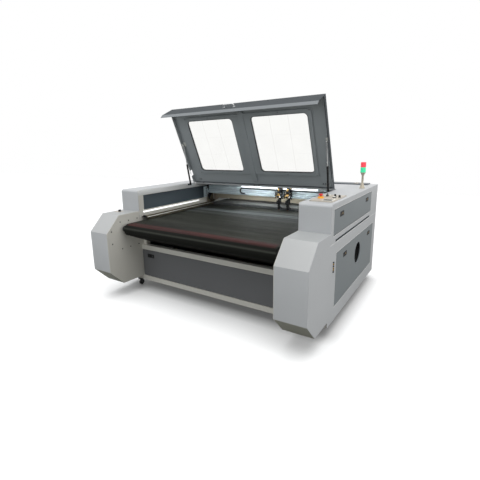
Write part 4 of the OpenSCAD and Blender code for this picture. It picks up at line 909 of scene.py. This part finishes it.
def rail_ends():
    bm = bmesh.new()
    block_pair(bm, (0.828, -0.560, 0.7985), (0.862, -0.5405, 0.817), 0.003)
    block_pair(bm, (0.866, -0.536, 0.8002), (0.876, 0.740, 0.8030), 0.0008)
    for side in SIDES:
        for y in (-0.528, 0.745):
            lathe(bm, [(0.009, 0.8002), (0.009, 0.806), (0.007, 0.808), (0, 0.808)], (side * 0.871, y, 0), Z, 18)
    placed("rail_ends_and_belts", bm, "frame", ["black_metal"])
    bm = bmesh.new()
    block_pair(bm, (0.8052, -0.541, 0.7998), (0.8190, 0.755, 0.8013), 0.0005)
    placed("ledge_edge_strips", bm, "frame", ["white_plastic"])
    # Pale strips on the inner walls above the recesses: painted light on faces that are lit
    bm = bmesh.new()
    block_pair(bm, (0.8932, -0.572, 1.0235), (0.8944, 0.740, 1.0770), 0.0004)
    placed("wall_top_trims", bm, "frame", ["trim_paint"])


# Feed hood: a dark strip along its top as painted shade in its corner with the wall, brush strip at its lip and
# bright corner plates
def hood_fittings():
    up, half, slot = Vector((0, -0.234, 0.972)), 0.804, NODE_SLOT["rear_wall"]
    low, high = (0.695, 0.8254), (0.753, 0.8393)
    # Dark strip: painted shade where the hood meets the wall
    bm = bmesh.new()
    ring = ((-half, *low), (half, *low), (half, *high), (-half, *high))
    outline_plate(bm, [Vector(c) + up * 0.0004 for c in ring], up * 0.0015)
    placed("feed_hood_flap", bm, "frame", ["dark_plastic"])
    bm = bmesh.new()
    bristles, pitch = 200, 0.008
    block(bm, (-0.803, 0.6102, 0.7975), (0.803, 0.6140, 0.8050), 0.0008)
    for k in range(bristles):
        block(bm, (-0.800 + k * pitch, 0.6108, 0.7742), (-0.7925 + k * pitch, 0.6132, 0.7980), 0.0006, 1)
    placed("feed_hood_brush", bm, "frame", ["bracket_black", "brush_grey"])
    bm = bmesh.new()
    for side in SIDES:
        ring = ((0.803, 0.612, 0.8055), (0.655, 0.752, 0.8391), (0.803, 0.752, 0.8391))
        outline_plate(bm, [Vector((side * x, y, z)) + up * 0.0021 for x, y, z in ring], up * 0.0015)
    block_pair(bm, (0.634, 0.738, 0.8365), (0.660, 0.756, 0.8520), 0.002, 1)
    placed("feed_corner_plates", bm, "frame", ["white_plastic", "bronze"])


# Gantry: lights, groove lips, end plates and chain rivets
def gantry_fittings():
    for name, body, look, lo, hi, width in (
        ("beam_front_light", "gantry", "beam_light", (-0.340, 0.5805, 1.0190), (0.628, 0.5842, 1.0430), 0.0012),
        ("beam_under_light", "gantry", "work_light", (-0.450, 0.632, 0.9235), (0.800, 0.654, 0.9255), 0.0006),
        ("cover_under_light", "frame", "cover_light", (-0.320, 0.400, 1.0700), (0.600, 0.430, 1.0765), 0.001),
    ):
        bm = bmesh.new()
        block(bm, lo, hi, width)
        placed(name, bm, body, [look])
    bm = bmesh.new()
    block_pair(bm, (0.8725, 0.506, 0.872), (0.8775, 0.5835, 1.012), 0.0012)
    block_pair(bm, (0.8535, 0.514, 0.884), (0.8722, 0.534, 1.000), 0.0015)
    block_pair(bm, (0.8535, 0.546, 0.905), (0.8722, 0.5835, 0.990), 0.003, 1)
    wheel = [(0.016, 0.0), (0.016, 0.006), (0.014, 0.008), (0.006, 0.008), (0.005, 0.004), (0, 0.004)]
    for side in SIDES:
        for z in (0.895, 0.925, 0.955, 0.985):
            screw(bm, (side * 0.8535, 0.524, z), X * -side, 0.005, 1)
        lathe(bm, wheel, (side * 0.8535, 0.5648, 0.948), X * -side, 20)
    placed("gantry_end_plates", bm, "gantry", ["plate_alu", "black_metal"])
    bm = bmesh.new()
    for z in (0.936, 0.958, 0.976):
        block(bm, (-0.848, 0.5834, z), (0.848, 0.5844, z + 0.004), 0.0003)
    placed("beam_groove_lips", bm, "gantry", ["groove_grey"])
    rows = [((side * 0.866, y, z), X * side, 0.006) for side in SIDES for y in (0.596, 0.652) for z in (0.945, 1.005)]
    rows += [((side * 0.8585, y, 0.832), Z, 0.005) for side in SIDES for y in (0.590, 0.658)]
    screws("gantry_end_screws", "gantry", rows)
    bm = bmesh.new()
    rivets, pitch = 57, 0.0202
    for k in range(rivets):
        lathe(bm, [(0.0028, 0.0), (0.0024, 0.0008), (0, 0.001)], (-0.312 + k * pitch, 0.562, 1.011), -Y, 8)
    placed("chain_rivets", bm, "gantry", ["bracket_black"])


# Cutting heads: profiles of their small turned pieces, as (radius, height along the axis)
MIRROR_RING = [(0.0165, 0.0), (0.0165, 0.004), (0.0145, 0.0055), (0.0095, 0.0055), (0.0088, 0.003), (0, 0.003)]
THUMB_SCREW = [(0.003, -0.008), (0.003, 0.006), (0.0062, 0.0065), (0.0066, 0.0085), (0.0062, 0.013), (0, 0.0138)]
SIDE_KNOB = [
    (0.0, 0.0), (0.007, 0.0), (0.007, 0.009), (0.0135, 0.010), (0.0142, 0.012), (0.0142, 0.022), (0.0125, 0.0245),
    (0, 0.0247)]
SMALL_KNOB = [
    (0.0, -0.006), (0.0034, -0.006), (0.0034, 0.012), (0.0068, 0.013), (0.0072, 0.021), (0.006, 0.0225), (0, 0.0225)]
TOP_KNOB = [(0.0, -0.002), (0.004, -0.002), (0.004, 0.016), (0.0075, 0.017), (0.0078, 0.024), (0, 0.025)]
STUB_KNOB = [
    (0.0, -0.004), (0.0052, -0.004), (0.0052, 0.018), (0.0088, 0.019), (0.0092, 0.028), (0.0075, 0.030), (0, 0.0302)]
GAS_FITTING = [
    (0.0, -0.004), (0.0042, -0.004), (0.0042, 0.006), (0.0058, 0.0065), (0.0058, 0.010), (0.003, 0.011), (0, 0.011)]
ELBOW = [(0.0055, -0.004), (0.0055, 0.014), (0.0090, 0.015), (0.0095, 0.040), (0.0062, 0.0435), (0.0, 0.044)]
SLEEVE = [(0.0070, 0.7985), (0.0135, 0.8005), (0.0158, 0.8040), (0.0158, 0.8330), (0.0142, 0.8345)]
TIP = [(0.0045, 0.7905), (0.0062, 0.792), (0.0078, 0.7985), (0.0072, 0.800)]


def head_fittings():
    for name, x in (("left", 0.198), ("right", 0.308)):
        carriage = name + "_carriage"
        bm = bmesh.new()
        lathe(bm, MIRROR_RING, (x, 0.506, 0.965), Vector((0, -1, 1)), 24)
        for dx, z in ((-0.017, 0.942), (0.017, 0.942), (-0.017, 0.956)):
            lathe(bm, THUMB_SCREW, (x + dx, 0.491, z), -Y, 12)
        for dx in (-0.022, 0.0, 0.022):
            lathe(bm, [(0.0055, 0.0), (0.0055, 0.004), (0.004, 0.0055), (0, 0.0055)], (x + dx, 0.575, 1.058), Z, 12)
        for dx, z in ((-0.022, 1.040), (0.022, 1.040), (0.0, 1.000), (-0.022, 0.935), (0.022, 0.935)):
            lathe(bm, [(0.0052, 0.0), (0.0052, 0.003), (0.0040, 0.0045), (0, 0.0045)], (x + dx, 0.540, z), -Y, 10)
        block(bm, (x - 0.011, 0.5005, 1.006), (x + 0.011, 0.5065, 1.036), 0.002)
        placed(name + "_head_brass", bm, carriage, ["brass"])
        bm = bmesh.new()
        for side in SIDES:
            lathe(bm, SIDE_KNOB, (x + side * 0.024, 0.515, 0.958), X * side, 16)
            for y, z, lean in ((0.520, 0.946, -0.25), (0.508, 0.990, 0.35), (0.528, 1.022, 0.15)):
                lathe(bm, SMALL_KNOB, (x + side * 0.020, y, z), Vector((side, -0.35, lean)), 12)
        block(bm, (x - 0.018, 0.505, 0.988), (x + 0.018, 0.539, 1.022), 0.003)
        for z in (0.992, 1.000, 1.008, 1.016):
            block(bm, (x - 0.019, 0.502, z), (x + 0.019, 0.508, z + 0.003), 0.0008)
        for side in SIDES:
            lathe(bm, TOP_KNOB, (x + side * 0.016, 0.515, 1.012), Vector((side * 0.8, -0.3, 0.55)), 12)
        for side, z, lean in ((-1, 0.972, 0.30), (-1, 0.938, -0.15), (1, 0.978, 0.45), (1, 0.936, -0.30)):
            lathe(bm, STUB_KNOB, (x + side * 0.018, 0.522, z), Vector((side, -0.2, lean)), 12)
        placed(name + "_head_knobs", bm, carriage, ["black_metal"])
        bm = bmesh.new()
        ports = ((-0.026, 0.512, 0.985), (0.026, 0.512, 0.985), (-0.010, 0.500, 1.030), (0.022, 0.493, 0.942))
        for dx, y, z in ports:
            lathe(bm, GAS_FITTING, (x + dx, y, z), Vector((dx * 20, -0.7, 0.4)), 12)
        placed(name + "_gas_fittings", bm, carriage, ["white_plastic"])
        bm = bmesh.new()
        lathe(bm, ELBOW, (x + 0.012, 0.508, 0.838), Vector((0.80, -0.20, -0.50)), 12)
        lathe(bm, SLEEVE, (x, 0.515, 0), Z, 24)
        lathe(bm, TIP, (x, 0.515, 0), Z, 16, 1)
        placed(name + "_nozzle_fittings", bm, name + "_lens", ["black_metal", "copper"])


# Lid: screws, strut stud plates, edge beads (the left one pale, a painted highlight on the lit flange edge) and the
# lips along its back
def lid_fixings():
    hinges, ribs = (-0.7796, 0.0, 0.7796), (-0.72, -0.41, 0.41, 0.72)
    rows = [(lid_point(x + dx, 0.050, 0.0021), LID_OUT, 0.006) for x in hinges for dx in (-0.012, 0.012)]
    rows += [(lid_point(x, s, 0.0171), LID_OUT, 0.0045) for x in ribs for s in (0.150, 0.800)]
    screws("lid_screws", "lid", rows, "bracket_black")
    bm = bmesh.new()
    stud = [(0.0085, 0.0), (0.0085, 0.0035), (0.007, 0.005), (0.004, 0.005)]
    for side in SIDES:
        ring = corner_points(0.478, 0.522, 0.014, 0.0435, 0.004, 3)
        outline_plate(bm, [lid_point(side * 0.8742, s, n) for s, n in ring], X * -side * 0.0045)
        lathe(bm, stud, lid_point(side * 0.8700, 0.500, 0.030), X * -side, 16)
        lid_plate(bm, (*sorted((side * 0.838, side * 0.866)), 0.482, 0.530), 0.004, 0.0018, 0.0025)
    placed("strut_stud_plates", bm, "lid", ["white_plastic"])
    bm = bmesh.new()
    # Left bead pale: a painted highlight on the lid's lit flange edge; right bead in the flange's own paint
    for index, side in enumerate(SIDES):
        lid_plate(bm, (*sorted((side * 0.8702, side * 0.8766)), 0.130, 0.905), 0.002, 0.0432, 0.0022, index)
    placed("lid_edge_beads", bm, "lid", ["trim_paint", "flange_paint"])
    bm = bmesh.new()
    for a, b in ((-0.876, -0.812), (-0.748, -0.032), (0.032, 0.748), (0.812, 0.876)):
        lid_plate(bm, (a, b, -0.0055, 0.014), 0.001, 0.0018, 0.0015, 0, 2)
    placed("lid_back_lips", bm, "lid", ["lid_paint"])


# Struts: end collars
def strut_collars():
    foot, head = Vector((0, 0.230, 1.066)), lid_point(0, 0.500, 0.030)
    along = (head - foot).normalized()
    for side, name in ((-1, "left"), (1, "right")):
        bm = bmesh.new()
        base = Vector((side * 0.855, foot.y, foot.z))
        for collar in (
            [(0.0042, 0.2495), (0.0085, 0.2497), (0.0104, 0.2480), (0.0106, 0.2440), (0.0103, 0.2400)],
            [(0.0101, 0.012), (0.0112, 0.013), (0.0112, 0.019), (0.0101, 0.020)],
        ):
            lathe(bm, collar, base, along, 20)
        placed(name + "_strut_collars", bm, name + "_cylinder", ["strut_black"])


# Tube compartment cover, rear panel and left side plates
def rear_fittings():
    bm = bmesh.new()
    for x0 in (0.918, -0.966):
        top_plate(bm, (x0, x0 + 0.048, 0.872, 0.992), 0.004, 1.0878, 0.0018)
    for x in (-0.953, -0.931, 0.931, 0.953):
        for y in (0.885, 0.979):
            screw(bm, (x, y, 1.0896), Z, 0.0045, 1)
    placed("tube_cover_clips", bm, "tube_hatch", ["clip_beige", "zinc"])
    bm = bmesh.new()
    slats, pitch, length, height = 10, 0.028, 0.36, 0.012
    for x0 in (-0.78, 0.42):
        for k in range(slats):
            z = 0.24 + k * pitch
            block(bm, (x0, 0.9995, z), (x0 + length, 1.0045, z + height), 0.0035)
    placed("rear_louvres", bm, "frame", ["grey_paint"])
    spots = [(x, BACK_Y, z) for x in (-1.13, -0.55, 0.0, 0.55, 1.13) for z in (0.118, 0.735)]
    spots += [(x, BACK_Y, z) for x in (-1.13, 1.13) for z in (0.43, 1.03)]
    spots += [(x, BACK_Y, 0.86) for x in (-0.8, 0.0, 0.8)]
    screws("rear_panel_screws", "frame", [(spot, Y, 0.0065) for spot in spots])
    bm = bmesh.new()
    gland = [
        (0.020, 0.0), (0.020, 0.003), (0.0165, 0.004), (0.0165, 0.010), (0.011, 0.012), (0.0075, 0.012),
        (0.0075, 0.002), (0, 0.002)]
    for x in (0.955, 1.020):
        lathe(bm, gland, (x, BACK_Y, 0.22), Y, 20)
    placed("cable_glands", bm, "frame", ["dark_plastic"])
    spots = []
    for y0, y1, z0, z1 in ((-0.523, 0.720, 0.824, 1.040), (-0.428, 0.880, 0.214, 0.682)):
        spots += [(-1.1482, y0 + (y1 - y0) * k / 4, z) for k in range(5) for z in (z0 + 0.022, z1 - 0.022)]
    screws("left_plate_fixings", "frame", [(spot, -X, 0.006) for spot in spots])


# Caps on the front roller's bearings
def bearing_caps():
    bm = bmesh.new()
    for side in SIDES:
        cap = [(0.0165, 0.0), (0.0175, 0.0025), (0.0255, 0.003), (0.0272, 0.001), (0.0272, -0.001)]
        lathe(bm, cap, (side * 0.866, *BELT_ROLLS[0][0]), X * -side, 28)
    placed("roller_bearing_caps", bm, "frame", ["bracket_black"])


housing_screws()
latch_trim()
door_edges()
exhaust_rim()
hose_sockets()
seam_trims()
rail_ends()
hood_fittings()
gantry_fittings()
head_fittings()
lid_fixings()
strut_collars()
rear_fittings()
bearing_caps()


# Camera, fitted to the machine's edges in the photo
RIGHT = Vector((0.83252475, 0.5536672, -0.01884606))
UP = Vector((-0.10589748, 0.19244063, 0.97557795))
AHEAD = Vector((-0.54377226, 0.81019703, -0.21884355))
cam = bpy.data.cameras.new("photo_camera")
cam.sensor_width, cam.lens, cam.shift_x, cam.shift_y = 36.0, 25.79, 0.0185, -0.0300
cam.clip_end = 100.0
eye = bpy.data.objects.new("photo_camera", cam)
pose = Matrix((RIGHT, UP, -AHEAD)).transposed().to_4x4()
pose.translation = (1.9038, -3.010, 1.488)
eye.matrix_world = pose
scene.collection.objects.link(eye)
scene.camera = eye


# Stage: a pale floor that bounces little light and carries a painted contact shadow close to what stands on it, world
# and soft lights
def pale_floor():
    reach, back, bounced, seen_as = 30.0, 9.0, (0.2, 0.2, 0.19, 1), (0.95, 0.95, 0.95, 1)
    bm = bmesh.new()
    bmesh.ops.create_grid(bm, x_segments=1, y_segments=1, size=reach)
    for v in bm.verts:
        v.co.y = min(v.co.y, back)
    mesh = bpy.data.meshes.new("pale_floor")
    bm.to_mesh(mesh)
    bm.free()
    m = bpy.data.materials.new("pale_floor")
    m.use_nodes = True
    t = Nodes(m.node_tree)
    shader = t.tree.nodes["Principled BSDF"].inputs
    shader["Roughness"].default_value = 0.5
    rays = t.node("ShaderNodeLightPath").outputs
    direct = t.sum("MAXIMUM", rays["Is Camera Ray"], rays["Is Transmission Ray"])
    # Painted contact shadow: ambient occlusion darkens the floor's colour under and beside the machine
    painted_contact_shadow = t.node("ShaderNodeAmbientOcclusion", {"Distance": 0.15}, samples=12).outputs["AO"]
    shade = {0: t.blend(direct, bounced, seen_as), "Scale": t.sum("POWER", painted_contact_shadow, 1.3)}
    t.tree.links.new(t.node("ShaderNodeVectorMath", shade, operation="SCALE").outputs[0], shader["Base Color"])
    shader["Emission Color"].default_value = (1, 1, 1, 1)
    t.tree.links.new(t.times(direct, 0.07), shader["Emission Strength"])
    mesh.materials.append(m)
    obj = bpy.data.objects.new("pale_floor", mesh)
    scene.collection.objects.link(obj)


def studio_world():
    world = bpy.data.worlds.new("studio")
    scene.world = world
    world.use_nodes = True
    t = Nodes(world.node_tree)
    t.tree.nodes.clear()
    rays = t.node("ShaderNodeLightPath").outputs
    white = t.node("ShaderNodeBackground", {0: (1, 1, 1, 1), 1: 1.0}).outputs[0]
    dim = t.node("ShaderNodeBackground", {0: (0.97, 0.985, 1.0, 1), 1: 0.42}).outputs[0]
    direct = t.sum("MAXIMUM", rays["Is Camera Ray"], rays["Is Transmission Ray"])
    direct = t.sum("MAXIMUM", direct, rays["Is Glossy Ray"])
    mix = t.node("ShaderNodeMixShader", {0: direct, 1: dim, 2: white}).outputs[0]
    t.node("ShaderNodeOutputWorld", {0: mix})


def light(name, kind, place, towards, **values):
    data = bpy.data.lights.new(name, kind)
    for key, value in values.items():
        setattr(data, key, value)
    obj = bpy.data.objects.new(name, data)
    obj.location = place
    obj.rotation_euler = Vector(towards).to_track_quat("-Z", "Y").to_euler()
    obj.visible_glossy = False
    scene.collection.objects.link(obj)
    return obj


def soft_light(name, place, target, size, watts, colour=(1, 1, 1)):
    towards = Vector(target) - Vector(place)
    shape = {"shape": "RECTANGLE", "size": size[0], "size_y": size[1]}
    light(name, "AREA", place, towards, energy=watts, color=colour, **shape).visible_camera = False


pale_floor()
studio_world()
light("overhead", "SUN", (0, 0, 6), (-0.05, 0.24, -1.0), energy=2.5, angle=math.radians(60))
soft_light("front_softbox", (-1.5, -6.0, 2.6), (0.0, -0.4, 0.6), (5.0, 3.0), 64, (0.93, 0.98, 1.0))
soft_light("right_softbox", (6.0, -0.5, 2.6), (0.5, 0.2, 0.6), (4.0, 3.0), 120)
scene.view_settings.view_transform = "Standard"
